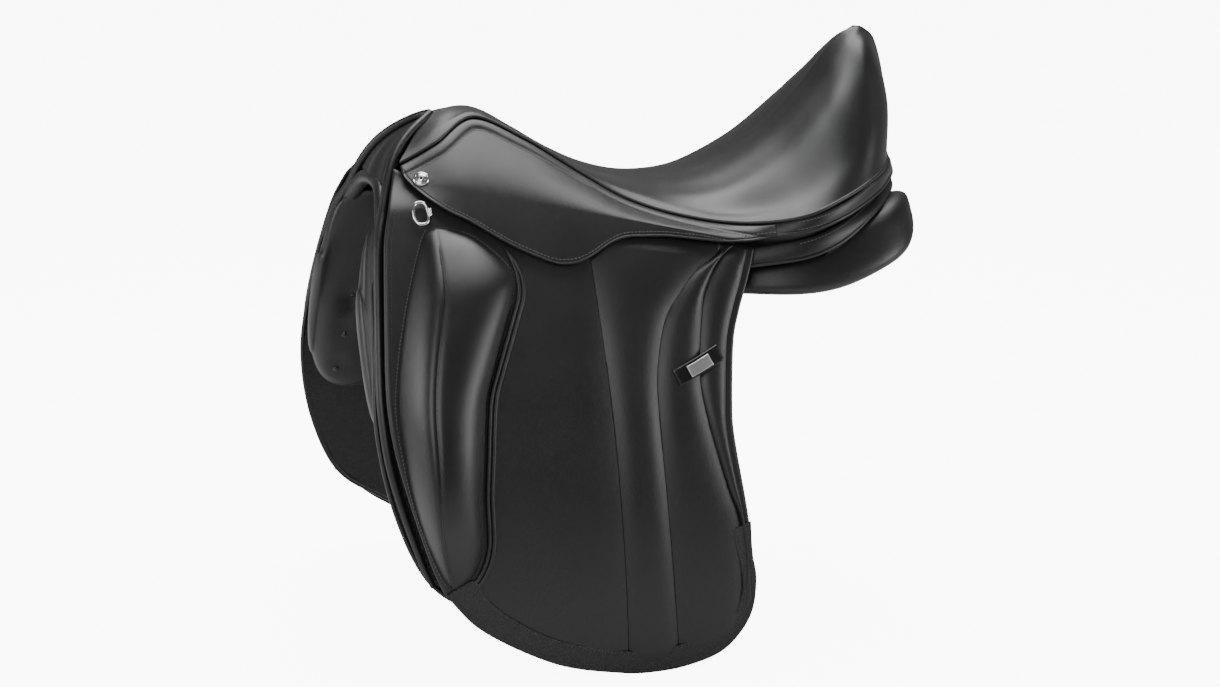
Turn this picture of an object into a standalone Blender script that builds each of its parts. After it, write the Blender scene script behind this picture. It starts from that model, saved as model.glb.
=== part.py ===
"""English dressage saddle, built as separate named pieces.

Metres, +Z up.  +X runs from the pommel (front) to the cantle (rear), and -Y is
the near (left) side.  The origin lies under the middle of the saddle, level
with the bottom of the flaps.  Every leather layer on a side is a sheet whose
half-width from the centre plane is a function of x and z, so that the sweat
flap, billet, flap and skirt lie one over the other and never cross.
"""
from math import asin, cos, pi, radians, sin

import bmesh
import bpy
from mathutils import Matrix, Vector

COLLECTION = "english_saddle"
CENTRE_SHIFT = (0.00295, 0.0, 0.0001)    # brings the middle of the whole saddle over the origin
SIDES = (("left", -1), ("right", 1))

# ---- driving dimensions (metres) ----
FLAP_SPREAD = 0.220          # half-width at the bottom of the flaps
FLAP_RISE = 0.403            # height at which the side surface has come in by FLAP_PULL
FLAP_PULL = 0.135
FLAP_CURVE = 2.4             # exponent of the side surface
FLARE = 0.04                 # the sides open towards the rear by this slope

FLAP_LIFT, FLAP_THICK = 0.003, 0.0045
SWEAT_LIFT, SWEAT_THICK = -0.024, 0.0035
BILLET_LIFT, BILLET_THICK = -0.014, 0.004
SKIRT_THICK = 0.0038
BORDER_LIFT, BORDER_THICK = 0.0062, 0.0022
COVER_THICK = 0.0025
HARDWARE_GAP = 0.0005
HINGE_SLOT = 0.0016          # half of the slot between skirt yoke and skirt lobe
LOBE_END = 0.058             # behind this x the skirt is all yoke

# the flaps and skirts bend about one straight line on each side
HINGE_FRONT = (-0.225, 0.0766, 0.418)
HINGE_REAR = (0.100, 0.1400, 0.350)

# ---- outlines of the near side, seen square on: (x, z) ----
FLAP_FRONT = [(-0.220, 0.4130), (-0.242, 0.361), (-0.254, 0.268), (-0.254, 0.217),
              (-0.244, 0.166), (-0.228, 0.110), (-0.217, 0.083)]
FLAP_BOTTOM = [(-0.217, 0.083), (-0.185, 0.049), (-0.123, 0.015), (-0.067, 0.002), (-0.035, 0.0),
               (-0.002, 0.004), (0.029, 0.016), (0.051, 0.043), (0.057, 0.075)]
FLAP_BACK = [(0.057, 0.075), (0.053, 0.127), (0.045, 0.196), (0.046, 0.229), (0.053, 0.274),
             (0.062, 0.299), (0.076, 0.327), (0.085, 0.3470)]
BORDER_INNER = [(0.052, 0.127), (0.034, 0.119), (0.043, 0.097), (0.041, 0.059), (0.025, 0.038),
                (-0.001, 0.027), (-0.034, 0.021), (-0.066, 0.023), (-0.131, 0.042),
                (-0.162, 0.061), (-0.182, 0.079), (-0.193, 0.096)]
SWEAT_OUTLINE = [(-0.226, 0.398), (-0.247, 0.350), (-0.257, 0.270), (-0.260, 0.210),
                 (-0.249, 0.145), (-0.224, 0.088), (-0.185, 0.058), (-0.123, 0.026), (-0.067, 0.013),
                 (-0.002, 0.016), (0.026, 0.030), (0.046, 0.076), (0.034, 0.195), (0.038, 0.270),
                 (0.052, 0.330), (0.042, 0.346), (-0.060, 0.370)]
SKIRT_HEM = [(0.055, 0.3560), (0.030, 0.3585), (0.007, 0.362), (-0.031, 0.363), (-0.061, 0.351),
             (-0.088, 0.345), (-0.118, 0.355), (-0.149, 0.372), (-0.181, 0.390), (-0.207, 0.409)]

# ---- seat surface: half sections from the centre line to the welt, front to rear ----
SEAT_SECTIONS = [
    [(-0.171, 0.000, 0.4600), (-0.180, 0.013, 0.4550), (-0.190, 0.024, 0.4490),
     (-0.203, 0.042, 0.4390), (-0.216, 0.061, 0.4290)],
    [(-0.153, 0.000, 0.4625), (-0.157, 0.011, 0.4605), (-0.163, 0.021, 0.4570),
     (-0.172, 0.033, 0.4510), (-0.180, 0.046, 0.4420)],
    [(-0.128, 0.000, 0.4590), (-0.130, 0.006, 0.4600), (-0.133, 0.012, 0.4605),
     (-0.137, 0.018, 0.4605), (-0.141, 0.0235, 0.4590)],
    [(-0.095, 0.000, 0.4390), (-0.095, 0.011, 0.4400), (-0.096, 0.021, 0.4405),
     (-0.097, 0.030, 0.4405), (-0.098, 0.0375, 0.4405)],
    [(-0.055, 0.000, 0.4125), (-0.055, 0.018, 0.4145), (-0.055, 0.034, 0.4150),
     (-0.054, 0.047, 0.4140), (-0.053, 0.056, 0.4115)],
    [(-0.014, 0.000, 0.3955), (-0.014, 0.026, 0.3965), (-0.014, 0.048, 0.3960),
     (-0.014, 0.065, 0.3935), (-0.014, 0.075, 0.3885)],
    [(0.032, 0.000, 0.3910), (0.032, 0.033, 0.3900), (0.032, 0.062, 0.3850),
     (0.032, 0.084, 0.3800), (0.031, 0.096, 0.3745)],
    [(0.080, 0.000, 0.3990), (0.080, 0.038, 0.3960), (0.080, 0.072, 0.3860),
     (0.080, 0.100, 0.3770), (0.080, 0.117, 0.3690)],
    [(0.130, 0.000, 0.4270), (0.130, 0.035, 0.4240), (0.131, 0.072, 0.4090),
     (0.130, 0.112, 0.3920), (0.128, 0.137, 0.3755)],
    [(0.170, 0.000, 0.4640), (0.171, 0.032, 0.4600), (0.173, 0.064, 0.4440),
     (0.172, 0.104, 0.4170), (0.168, 0.130, 0.3880)],
    [(0.196, 0.000, 0.4960), (0.200, 0.026, 0.4920), (0.208, 0.052, 0.4770),
     (0.212, 0.084, 0.4360), (0.208, 0.103, 0.4000)],
    [(0.2125, 0.000, 0.5120), (0.218, 0.018, 0.5090), (0.229, 0.033, 0.4960),
     (0.240, 0.047, 0.4530), (0.236, 0.060, 0.4070)],
    [(0.224, 0.000, 0.5190), (0.234, 0.000, 0.5165), (0.246, 0.000, 0.5030),
     (0.2555, 0.000, 0.4600), (0.251, 0.000, 0.4140)],
]
FOAM_FIRST, FOAM_LAST = 1, 10    # seat sections that the foam spans

# ---- bands around the cantle: upper and lower guide, near the welt to the rear centre ----
TAIL_UPPER = [(0.104, 0.1300, 0.3680), (0.130, 0.1375, 0.3725), (0.163, 0.1340, 0.3815),
              (0.196, 0.1130, 0.3920), (0.213, 0.0980, 0.3965), (0.238, 0.0600, 0.4030),
              (0.2515, 0.0, 0.4100)]
TAIL_LOWER = [(0.104, 0.1350, 0.3570), (0.133, 0.1405, 0.3625), (0.169, 0.1330, 0.3720),
              (0.205, 0.1080, 0.3830), (0.225, 0.0840, 0.3885), (0.246, 0.0460, 0.3930),
              (0.2540, 0.0, 0.3960)]
BAND_UPPER = [(0.088, 0.1260, 0.3470), (0.130, 0.1350, 0.3540), (0.165, 0.1280, 0.3640),
              (0.201, 0.1030, 0.3770), (0.221, 0.0800, 0.3830), (0.243, 0.0440, 0.3880),
              (0.2510, 0.0, 0.3910)]
BAND_LOWER = [(0.088, 0.1320, 0.3330), (0.132, 0.1400, 0.3390), (0.168, 0.1330, 0.3500),
              (0.203, 0.1120, 0.3680), (0.224, 0.0870, 0.3760), (0.245, 0.0480, 0.3810),
              (0.2530, 0.0, 0.3840)]

# ---- panel: x, top, bottom, outward shift of the outer face, thickness, inner top half-width ----
PANEL_STATIONS = [(-0.262, 0.335, 0.215, -0.040, 0.018, 0.072),
                  (-0.252, 0.385, 0.186, -0.034, 0.036, 0.058),
                  (-0.225, 0.395, 0.176, -0.032, 0.044, 0.050),
                  (-0.195, 0.388, 0.182, -0.032, 0.044, 0.042),
                  (-0.150, 0.378, 0.218, -0.032, 0.036, 0.038),
                  (-0.090, 0.362, 0.262, -0.032, 0.032, 0.036),
                  (-0.030, 0.352, 0.290, -0.031, 0.034, 0.035),
                  (0.030, 0.348, 0.302, -0.037, 0.040, 0.035),
                  (0.075, 0.350, 0.304, -0.028, 0.048, 0.035),
                  (0.120, 0.362, 0.303, -0.008, 0.054, 0.035),
                  (0.165, 0.370, 0.307, -0.007, 0.056, 0.035),
                  (0.205, 0.372, 0.325, -0.010, 0.050, 0.035),
                  (0.232, 0.372, 0.343, -0.034, 0.040, 0.036),
                  (0.243, 0.368, 0.354, -0.052, 0.024, 0.040)]

# ---- thigh block: front foot, ridge seam, rear foot down its length: (x, z) ----
BLOCK_FRONT = [(-0.203, 0.374), (-0.217, 0.348), (-0.237, 0.291), (-0.246, 0.235),
               (-0.243, 0.185), (-0.231, 0.132), (-0.213, 0.092)]
BLOCK_RIDGE = [(-0.195, 0.375), (-0.202, 0.343), (-0.216, 0.290), (-0.229, 0.232),
               (-0.234, 0.182), (-0.226, 0.135), (-0.212, 0.098)]
BLOCK_REAR = [(-0.150, 0.356), (-0.138, 0.334), (-0.155, 0.283), (-0.173, 0.236),
              (-0.181, 0.180), (-0.184, 0.130), (-0.193, 0.100)]
BLOCK_HEIGHT = [0.012, 0.030, 0.038, 0.040, 0.038, 0.030, 0.010]
BLOCK_BASE = 0.0050          # how far the block's base lies out from the side surface

# ---- tree and hardware ----
TREE_PATH = [(-0.158, 0.000, 0.434), (-0.155, 0.014, 0.432), (-0.145, 0.024, 0.428),
             (-0.120, 0.025, 0.420), (-0.060, 0.032, 0.390), (-0.014, 0.045, 0.368),
             (0.035, 0.062, 0.358), (0.085, 0.078, 0.360), (0.130, 0.086, 0.375),
             (0.170, 0.070, 0.408), (0.195, 0.036, 0.438), (0.201, 0.000, 0.447)]
TREE_WIDTH, TREE_HEIGHT = 0.020, 0.009
HEAD_PLATE_X, HEAD_PLATE_THICK = -0.1745, 0.003
HEAD_OUTER, HEAD_INNER, HEAD_TOP, HEAD_FOOT = 0.058, 0.046, 0.440, 0.398
BAR_FRONT_X, BAR_REAR_X = -0.145, -0.058
BAR_BOTTOM, BAR_DEPTH = 0.3940, 0.006
BAR_BASE_Y, BAR_OUTER_Y, BAR_STRIP = 0.0455, 0.0660, 0.005
LATCH_LENGTH = 0.016
BILLET_WIDTH, BILLET_TOP, BILLET_BOTTOM = 0.026, 0.362, 0.045
BILLET_X = {"front": -0.130, "rear": -0.020}
STUD_X, STUD_Z, STUD_RADIUS, STUD_HEIGHT = -0.198, 0.4265, 0.0070, 0.0030
DEE_X, DEE_Z, DEE_HALF, DEE_DEPTH, DEE_WIRE = -0.2005, 0.3890, 0.0105, 0.0095, 0.0014
KEEPER_ENDS = ((-0.004, 0.250), (0.038, 0.269))
KEEPER_WIDTH, KEEPER_LIFT = 0.014, 0.0062


# ---- general helpers ----
def clear_scene():
    for obj in list(bpy.data.objects):
        bpy.data.objects.remove(obj, do_unlink=True)


def material(name, colour, roughness, metallic=0.0):
    mat = bpy.data.materials.new(name)
    mat.use_nodes = True
    shader = mat.node_tree.nodes["Principled BSDF"]
    shader.inputs["Base Color"].default_value = (*colour, 1.0)
    shader.inputs["Roughness"].default_value = roughness
    shader.inputs["Metallic"].default_value = metallic
    return mat


def finish(name, bm, mat, pivot=(0, 0, 0), parent=None):
    """Turn a bmesh in saddle coordinates into a named object standing at its pivot."""
    bmesh.ops.translate(bm, verts=bm.verts, vec=-Vector(pivot))
    mesh = bpy.data.meshes.new(name)
    bm.to_mesh(mesh)
    bm.free()
    mesh.materials.append(mat)
    mesh.shade_smooth()
    mesh.set_sharp_from_angle(angle=radians(40))
    obj = bpy.data.objects.new(name, mesh)
    hang(obj, pivot, parent)
    return obj


def hang(obj, pivot, parent):
    """Link an object and stand it at its pivot, under a hinge or under the whole saddle."""
    bpy.data.collections[COLLECTION].objects.link(obj)
    obj.parent = parent or bpy.data.objects["saddle"]
    obj.location = Vector(pivot) - (parent.location if parent else Vector())


def empty(name, place, parent=None):
    obj = bpy.data.objects.new(name, None)
    obj.empty_display_size = 0.03
    obj.location = place
    obj.parent = parent
    bpy.data.collections[COLLECTION].objects.link(obj)
    return obj


def solidify(obj, thickness):
    mod = obj.modifiers.new("thickness", "SOLIDIFY")
    mod.thickness = thickness
    mod.offset = -1.0
    return mod


def subdivide(obj, levels=1):
    mod = obj.modifiers.new("soft", "SUBSURF")
    mod.levels = levels
    mod.render_levels = levels


def mirror(obj):
    mod = obj.modifiers.new("mirror", "MIRROR")
    mod.use_axis = (False, True, False)
    mod.merge_threshold = 0.0001


def smooth_line(points, steps=4):
    """Catmull-Rom curve through the points, `steps` pieces for each span."""
    pts = [Vector(p) for p in points]
    pts = [2 * pts[0] - pts[1]] + pts + [2 * pts[-1] - pts[-2]]
    line = []
    for a, b, c, d in zip(pts, pts[1:], pts[2:], pts[3:]):
        for i in range(steps):
            t = i / steps
            line.append(0.5 * (2 * b + (c - a) * t + (2 * a - 5 * b + 4 * c - d) * t * t
                               + (3 * b - a - 3 * c + d) * t ** 3))
    return line + [pts[-2]]


def side_y(x, z):
    """Half-width of the side surface on which the flaps hang."""
    return FLAP_SPREAD - FLAP_PULL * (max(z, 0.0) / FLAP_RISE) ** FLAP_CURVE + FLARE * x


def hinge_at(x):
    """Half-width and height of the bending line at x."""
    share = (x - HINGE_FRONT[0]) / (HINGE_REAR[0] - HINGE_FRONT[0])
    y = HINGE_FRONT[1] + share * (HINGE_REAR[1] - HINGE_FRONT[1])
    z = HINGE_FRONT[2] + share * (HINGE_REAR[2] - HINGE_FRONT[2])
    return y, z


def skirt_y(x, z):
    """Half-width of the skirt, which passes exactly through the bending line."""
    y, top = hinge_at(x)
    return side_y(x, z) + y - side_y(x, top)


def lifted(lift):
    return lambda x, z: side_y(x, z) + lift


def on_side(x, z, lift, side):
    return Vector((x, side * (side_y(x, z) + lift), z))


def grid_faces(bm, rows, closed=False):
    """Quads between rows of equal length; closed joins each row's end to its start."""
    grid = [[bm.verts.new(p) for p in row] for row in rows]
    for upper, lower in zip(grid, grid[1:]):
        pairs = list(zip(upper, lower))
        if closed:
            pairs.append(pairs[0])
        for (a, b), (c, d) in zip(pairs, pairs[1:]):
            bm.faces.new((a, b, d, c))
    return grid


def aim(bm, direction):
    """Turn an open surface over if, on the whole, it faces away from the direction."""
    bm.normal_update()
    facing = sum(face.calc_area() * face.normal.dot(Vector(direction)) for face in bm.faces)
    if facing < 0:
        bmesh.ops.reverse_faces(bm, faces=bm.faces)


def sheet(name, outline, half_width, thickness, side, mat, cell=0.024, pivot=(0, 0, 0), parent=None):
    """A hanging leather sheet: a flat outline cut into cells, then draped outwards."""
    bm = bmesh.new()
    bm.faces.new([bm.verts.new((p[0], 0, p[1])) for p in outline])
    for axis, normal in ((0, (1, 0, 0)), (2, (0, 0, 1))):
        low = min(v.co[axis] for v in bm.verts)
        high = max(v.co[axis] for v in bm.verts)
        count = max(1, round((high - low) / cell))
        for i in range(1, count):
            cut = Vector(normal) * (low + (high - low) * i / count)
            everything = bm.verts[:] + bm.edges[:] + bm.faces[:]
            bmesh.ops.bisect_plane(bm, geom=everything, plane_co=cut, plane_no=normal)
    for vert in bm.verts:
        vert.co.y = side * half_width(vert.co.x, vert.co.z)
    bmesh.ops.triangulate(bm, faces=[f for f in bm.faces if len(f.verts) > 4])
    aim(bm, (0, side, 0))
    obj = finish(name, bm, mat, pivot, parent)
    solidify(obj, thickness)
    return obj


def close_outward(bm):
    bmesh.ops.recalc_face_normals(bm, faces=bm.faces)
    if bm.calc_volume(signed=True) < 0:
        bmesh.ops.reverse_faces(bm, faces=bm.faces)


def loft(name, rings, mat, pivot=(0, 0, 0), parent=None):
    """A closed body through rings of points, with flat ends."""
    bm = bmesh.new()
    grid = grid_faces(bm, rings, closed=True)
    bm.faces.new(grid[0])
    bm.faces.new(list(reversed(grid[-1])))
    close_outward(bm)
    return finish(name, bm, mat, pivot, parent)


def strip_rings(path, across, up, width, height):
    """Rectangular rings across a path, for straps, webs and rails."""
    rings = []
    for point, side_way, up_way in zip(path, across, up):
        half = Vector(side_way).normalized() * width / 2
        rise = Vector(up_way).normalized() * height / 2
        point = Vector(point)
        rings.append([point - half - rise, point + half - rise, point + half + rise, point - half + rise])
    return rings


def prism(name, outline, low, high, axis, mat, pivot=(0, 0, 0), parent=None):
    """A flat outline drawn across `axis` (x or z) and thickened from low to high."""
    def lift(point, level):
        return (level, *point) if axis == "x" else (*point, level)
    ends = [[lift(p, level) for p in outline] for level in (low, high)]
    return loft(name, ends, mat, pivot, parent)


def tube(name, path, radius, mat, pivot=(0, 0, 0), parent=None, cyclic=False):
    """A round wire, cord or roll along a path."""
    curve = bpy.data.curves.new(name, "CURVE")
    curve.dimensions = "3D"
    curve.bevel_depth = radius
    curve.bevel_resolution = 2
    curve.use_fill_caps = not cyclic
    spline = curve.splines.new("POLY")
    spline.points.add(len(path) - 1)
    spline.use_cyclic_u = cyclic
    for point, place in zip(spline.points, path):
        point.co = (*(Vector(place) - Vector(pivot)), 1.0)
    curve.materials.append(mat)
    obj = bpy.data.objects.new(name, curve)
    hang(obj, pivot, parent)
    return obj


def side_frame(x, z, lift, side):
    """Place and turn for a flat piece lying on the side surface: its +Z points outwards."""
    place = on_side(x, z, lift, side)
    along = (on_side(x + 0.002, z, lift, side) - place).normalized()
    rise = (on_side(x, z + 0.002, lift, side) - place).normalized()
    out = along.cross(rise).normalized()
    if out.y * side < 0:
        out = -out
    rise = out.cross(along)
    turn = Matrix((along, rise, out)).transposed().to_4x4()
    return Matrix.Translation(place) @ turn


# ---- seat ----
def seat_grid(first, last, columns=5, steps=2, depth=0.0):
    """Half of the seat surface, pushed in by depth, as rows from front to rear."""
    guides = [smooth_line([row[c] for row in SEAT_SECTIONS], steps) for c in range(5)]
    rows = [smooth_line([g[i] for g in guides], steps) for i in range(len(guides[0]))]
    rows = rows[first * steps:last * steps + 1]
    rows = [row[:(columns - 1) * steps + 1] for row in rows]
    if not depth:
        return rows
    sunk = []
    for i, row in enumerate(rows):
        before, after = rows[max(i - 1, 0)], rows[min(i + 1, len(rows) - 1)]
        new = []
        for j, point in enumerate(row):
            along = after[j] - before[j]
            across = row[min(j + 1, len(row) - 1)] - row[max(j - 1, 0)]
            normal = along.cross(across).normalized()
            moved = point - normal * depth
            if j == 0:
                moved.y = 0.0
            new.append(moved)
        sunk.append(new)
    return sunk


def seat_piece(name, rows, thickness, mat):
    bm = bmesh.new()
    grid_faces(bm, rows)
    bmesh.ops.remove_doubles(bm, verts=bm.verts, dist=0.0001)
    for vert in bm.verts:
        vert.co.y = max(vert.co.y, 0.0)
    aim(bm, (0, 0, 1))
    obj = finish(name, bm, mat)
    mirror(obj)
    solidify(obj, thickness)
    return obj


def seat(mats):
    last = len(SEAT_SECTIONS) - 1
    seat_piece("seat_cover", seat_grid(0, last), COVER_THICK, mats["leather"])
    foam = seat_grid(FOAM_FIRST, FOAM_LAST, columns=3, depth=COVER_THICK + 0.0015)
    seat_piece("seat_foam", foam, 0.008, mats["foam"])


# ---- tree ----
def tree(mats):
    half = smooth_line(TREE_PATH, 2)
    path = half + [Vector((p.x, -p.y, p.z)) for p in reversed(half[1:-1])]
    across = []
    for i, point in enumerate(path):
        run = path[(i + 1) % len(path)] - path[i - 1]
        across.append(Vector((run.y, -run.x, 0)))
    up = [(0, 0, 1)] * len(path)
    rings = strip_rings(path, across, up, TREE_WIDTH, TREE_HEIGHT)
    bm = bmesh.new()
    grid_faces(bm, rings + rings[:1], closed=True)
    bmesh.ops.remove_doubles(bm, verts=bm.verts, dist=0.0001)
    close_outward(bm)
    finish("tree", bm, mats["timber"])


def head_plate(mats):
    """A steel arch across the front of the tree; both edges turn about one centre."""
    centre = HEAD_TOP - HEAD_OUTER
    steps = 10

    def arch(radius):
        foot = asin((HEAD_FOOT - centre) / radius)
        turns = [foot + (pi - 2 * foot) * i / steps for i in range(steps + 1)]
        return [(radius * cos(t), centre + radius * sin(t)) for t in turns]
    outline = arch(HEAD_OUTER) + list(reversed(arch(HEAD_INNER)))
    low = HEAD_PLATE_X - HEAD_PLATE_THICK
    prism("head_plate", outline, low, HEAD_PLATE_X, "x", mats["steel"])


def stirrup_bar(name, side, mats):
    """A base strip on the tree with a bar standing off it, open at the rear."""
    base_in, base_out = BAR_BASE_Y, BAR_BASE_Y + BAR_STRIP
    bar_in, bar_out = BAR_OUTER_Y - BAR_STRIP, BAR_OUTER_Y
    arm = BAR_FRONT_X + 0.009
    outline = [(BAR_REAR_X + 0.004, base_in), (BAR_REAR_X + 0.004, base_out), (arm, base_out),
               (arm, bar_in), (BAR_REAR_X - LATCH_LENGTH, bar_in), (BAR_REAR_X - LATCH_LENGTH, bar_out),
               (BAR_FRONT_X + 0.004, bar_out), (BAR_FRONT_X, bar_out - 0.004), (BAR_FRONT_X, base_in)]
    outline = [(x, side * y) for x, y in outline]
    prism(f"stirrup_bar_{name}", outline, BAR_BOTTOM, BAR_BOTTOM + BAR_DEPTH, "z", mats["steel"])
    front = BAR_REAR_X - LATCH_LENGTH + HARDWARE_GAP
    pivot = (front + 0.001, side * BAR_OUTER_Y, BAR_BOTTOM)
    tongue = [(front, bar_in), (BAR_REAR_X, bar_in), (BAR_REAR_X, bar_out), (front, bar_out)]
    tongue = [(x, side * y) for x, y in tongue]
    prism(f"bar_latch_{name}", tongue, BAR_BOTTOM, BAR_BOTTOM + BAR_DEPTH, "z", mats["steel"], pivot)


def webbing(mats):
    line = [(-0.132, 0, 0.428), (-0.100, 0, 0.417), (-0.055, 0, 0.396), (-0.010, 0, 0.378),
            (0.032, 0, 0.374), (0.080, 0, 0.381), (0.125, 0, 0.402), (0.160, 0, 0.430)]
    path = smooth_line(line, 2)
    up = []
    for i in range(len(path)):
        run = path[min(i + 1, len(path) - 1)] - path[max(i - 1, 0)]
        up.append((-run.z, 0, run.x))
    rings = strip_rings(path, [(0, 1, 0)] * len(path), up, 0.022, 0.0015)
    loft("seat_web_long", rings, mats["web"])
    for name, x, z, reach in (("front", 0.032, 0.3700, 0.046), ("rear", 0.085, 0.3730, 0.064)):
        ends = [(x, -reach, z), (x, 0, z), (x, reach, z)]
        rings = strip_rings(ends, [(1, 0, 0)] * 3, [(0, 0, 1)] * 3, 0.030, 0.0015)
        loft(f"seat_web_{name}", rings, mats["web"])


# ---- skirts ----
def skirt_yoke(name, side, mats):
    """The part of the skirt that is sewn to the seat, from the welt down to the bending line."""
    welt = smooth_line([row[-1] for row in SEAT_SECTIONS[:8]] + [(0.100, 0.1280, 0.3720)], 2)
    tail_x, tail_y, tail_z = TAIL_LOWER[0]
    rows = []
    for point in welt:
        y, z = hinge_at(min(point.x, LOBE_END))
        past = max(0.0, (point.x - LOBE_END) / (tail_x - LOBE_END))
        low = Vector((point.x, y + past * (tail_y - y), z + past * (tail_z - z)))
        high = point + Vector((0, 0.0016, -0.0042))
        low += (high - low).normalized() * HINGE_SLOT
        rows.append([low.lerp(high, t / 3) for t in range(4)])
    rows = [[Vector((p.x, side * p.y, p.z)) for p in row] for row in rows]
    bm = bmesh.new()
    grid_faces(bm, rows)
    aim(bm, (0, side, 0.5))
    obj = finish(f"skirt_yoke_{name}", bm, mats["leather"])
    solidify(obj, SKIRT_THICK)


def skirt_lobe(name, side, mats, parent):
    hem = smooth_line(SKIRT_HEM, 2)
    top = []
    for x in (-0.209, LOBE_END):
        y, z = hinge_at(x)
        top.append((x, z - HINGE_SLOT))
    outline = [top[0], top[1]] + [(p.x, p.y) for p in hem]
    return sheet(f"skirt_{name}", outline, skirt_y, SKIRT_THICK, side, mats["leather"],
                 pivot=parent.location, parent=parent)


def cantle_band(name, upper, lower, thickness, mats):
    top, low = smooth_line(upper, 2), smooth_line(lower, 2)
    rows = []
    for a, b in zip(top, low):
        middle = (a + b) / 2
        out = Vector((middle.x - 0.10, middle.y, 0)).normalized() * 0.0010
        rows.append([a, middle + out, b])
    bm = bmesh.new()
    grid_faces(bm, rows)
    aim(bm, (0, 1, 0))
    obj = finish(name, bm, mats["leather"])
    mirror(obj)
    solidify(obj, thickness)


# ---- flaps ----
def flap_outline():
    front, bottom, back = (smooth_line(part, 2) for part in (FLAP_FRONT, FLAP_BOTTOM, FLAP_BACK))
    return [(p.x, p.y) for p in front + bottom[1:] + back[1:]]


def border_outline():
    """The strip sewn along the bottom edge, just inside the flap's own outline."""
    inner = [(p.x, p.y) for p in smooth_line(BORDER_INNER, 2)]
    outer = [(p.x, p.y) for p in smooth_line(FLAP_BOTTOM, 2)] + [(0.055, 0.100)]
    return inner + outer


def thigh_block(name, side, mats, parent):
    rings = []
    for foot, ridge, rear, height in zip(BLOCK_FRONT, BLOCK_RIDGE, BLOCK_REAR, BLOCK_HEIGHT):
        middle = ((ridge[0] + rear[0]) / 2, (ridge[1] + rear[1]) / 2)
        shoulder = (rear[0] * 0.86 + ridge[0] * 0.14, rear[1] * 0.86 + ridge[1] * 0.14)
        rings.append([on_side(*foot, BLOCK_BASE, side),
                      on_side(foot[0] * 0.75 + ridge[0] * 0.25, foot[1] * 0.75 + ridge[1] * 0.25,
                              BLOCK_BASE + height * 0.5, side),
                      on_side(*ridge, BLOCK_BASE + height, side),
                      on_side(*middle, BLOCK_BASE + height * 0.98, side),
                      on_side(*shoulder, BLOCK_BASE + height * 0.62, side),
                      on_side(*rear, BLOCK_BASE, side)])
    return loft(f"thigh_block_{name}", rings, mats["leather"], parent.location, parent)


def billet(place, name, side, mats):
    x = BILLET_X[place]
    count = 9
    heights = [BILLET_TOP + (BILLET_BOTTOM - BILLET_TOP) * i / (count - 1) for i in range(count)]
    path = [on_side(x, z, BILLET_LIFT - BILLET_THICK / 2, side) for z in heights]
    rings = strip_rings(path, [(1, 0, 0)] * count, [(0, 1, 0)] * count, BILLET_WIDTH, BILLET_THICK)
    loft(f"{place}_billet_{name}", rings, mats["leather"], path[0] + Vector((0, 0, -0.012)))


def keeper(name, side, mats, parent):
    (x0, z0), (x1, z1) = KEEPER_ENDS
    tilt = Vector((x1 - x0, 0, z1 - z0)).normalized()
    rise = Vector((-tilt.z, 0, tilt.x))
    layers = (("strap", 0.0, 1.0, KEEPER_WIDTH, KEEPER_LIFT, 0.0022),
              ("plate", 0.25, 0.78, 0.0095, KEEPER_LIFT + 0.0027, 0.0012))
    for part, start, end, width, low, thick in layers:
        rings = []
        for i in range(4):
            share = start + (end - start) * i / 3
            x, z = x0 + (x1 - x0) * share, z0 + (z1 - z0) * share
            ring = []
            for shift, level in ((-1, low), (1, low), (1, low + thick), (-1, low + thick)):
                spot = Vector((x, 0, z)) + rise * shift * width / 2
                ring.append(on_side(spot.x, spot.z, level, side))
            rings.append(ring)
        mat = mats["strap"] if part == "strap" else mats["plate"]
        loft(f"keeper_{part}_{name}", rings, mat, parent.location, parent)


def dee(name, side, mats, parent):
    """A D ring hanging on a knuckle behind it, and the plate that holds the knuckle."""
    frame = side_frame(DEE_X, DEE_Z, 0.0072, side)
    bow = []
    for i in range(9):
        t = -pi / 2 + pi * i / 8
        bow.append((-DEE_DEPTH * cos(t), DEE_HALF * sin(t), 0.0))
    ring_path = [frame @ Vector(p) for p in bow]
    tube(f"dee_ring_{name}", ring_path, DEE_WIRE, mats["chrome"], frame.translation, parent, cyclic=True)
    plate = [(0.0020, -0.0035), (0.0062, -0.0035), (0.0062, 0.0035), (0.0020, 0.0035)]
    rings = [[frame @ Vector((x, y, level)) for x, y in plate] for level in (-0.0022, 0.0012)]
    loft(f"dee_staple_{name}", rings, mats["chrome"], parent.location, parent)


def stud(name, side, mats):
    x, z = STUD_X, STUD_Z
    y, top = hinge_at(x)
    bm = bmesh.new()
    bmesh.ops.create_cone(bm, cap_ends=True, segments=24, radius1=STUD_RADIUS,
                          radius2=STUD_RADIUS * 0.8, depth=STUD_HEIGHT)
    place = Vector((x, side * (y + 0.0055), z))
    out = Vector((-0.25, side * 0.80, 0.54)).normalized()
    turn = Vector((0, 0, 1)).rotation_difference(out).to_matrix().to_4x4()
    bmesh.ops.transform(bm, matrix=Matrix.Translation(place) @ turn, verts=bm.verts)
    finish(f"pommel_stud_{name}", bm, mats["chrome"], place)


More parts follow.
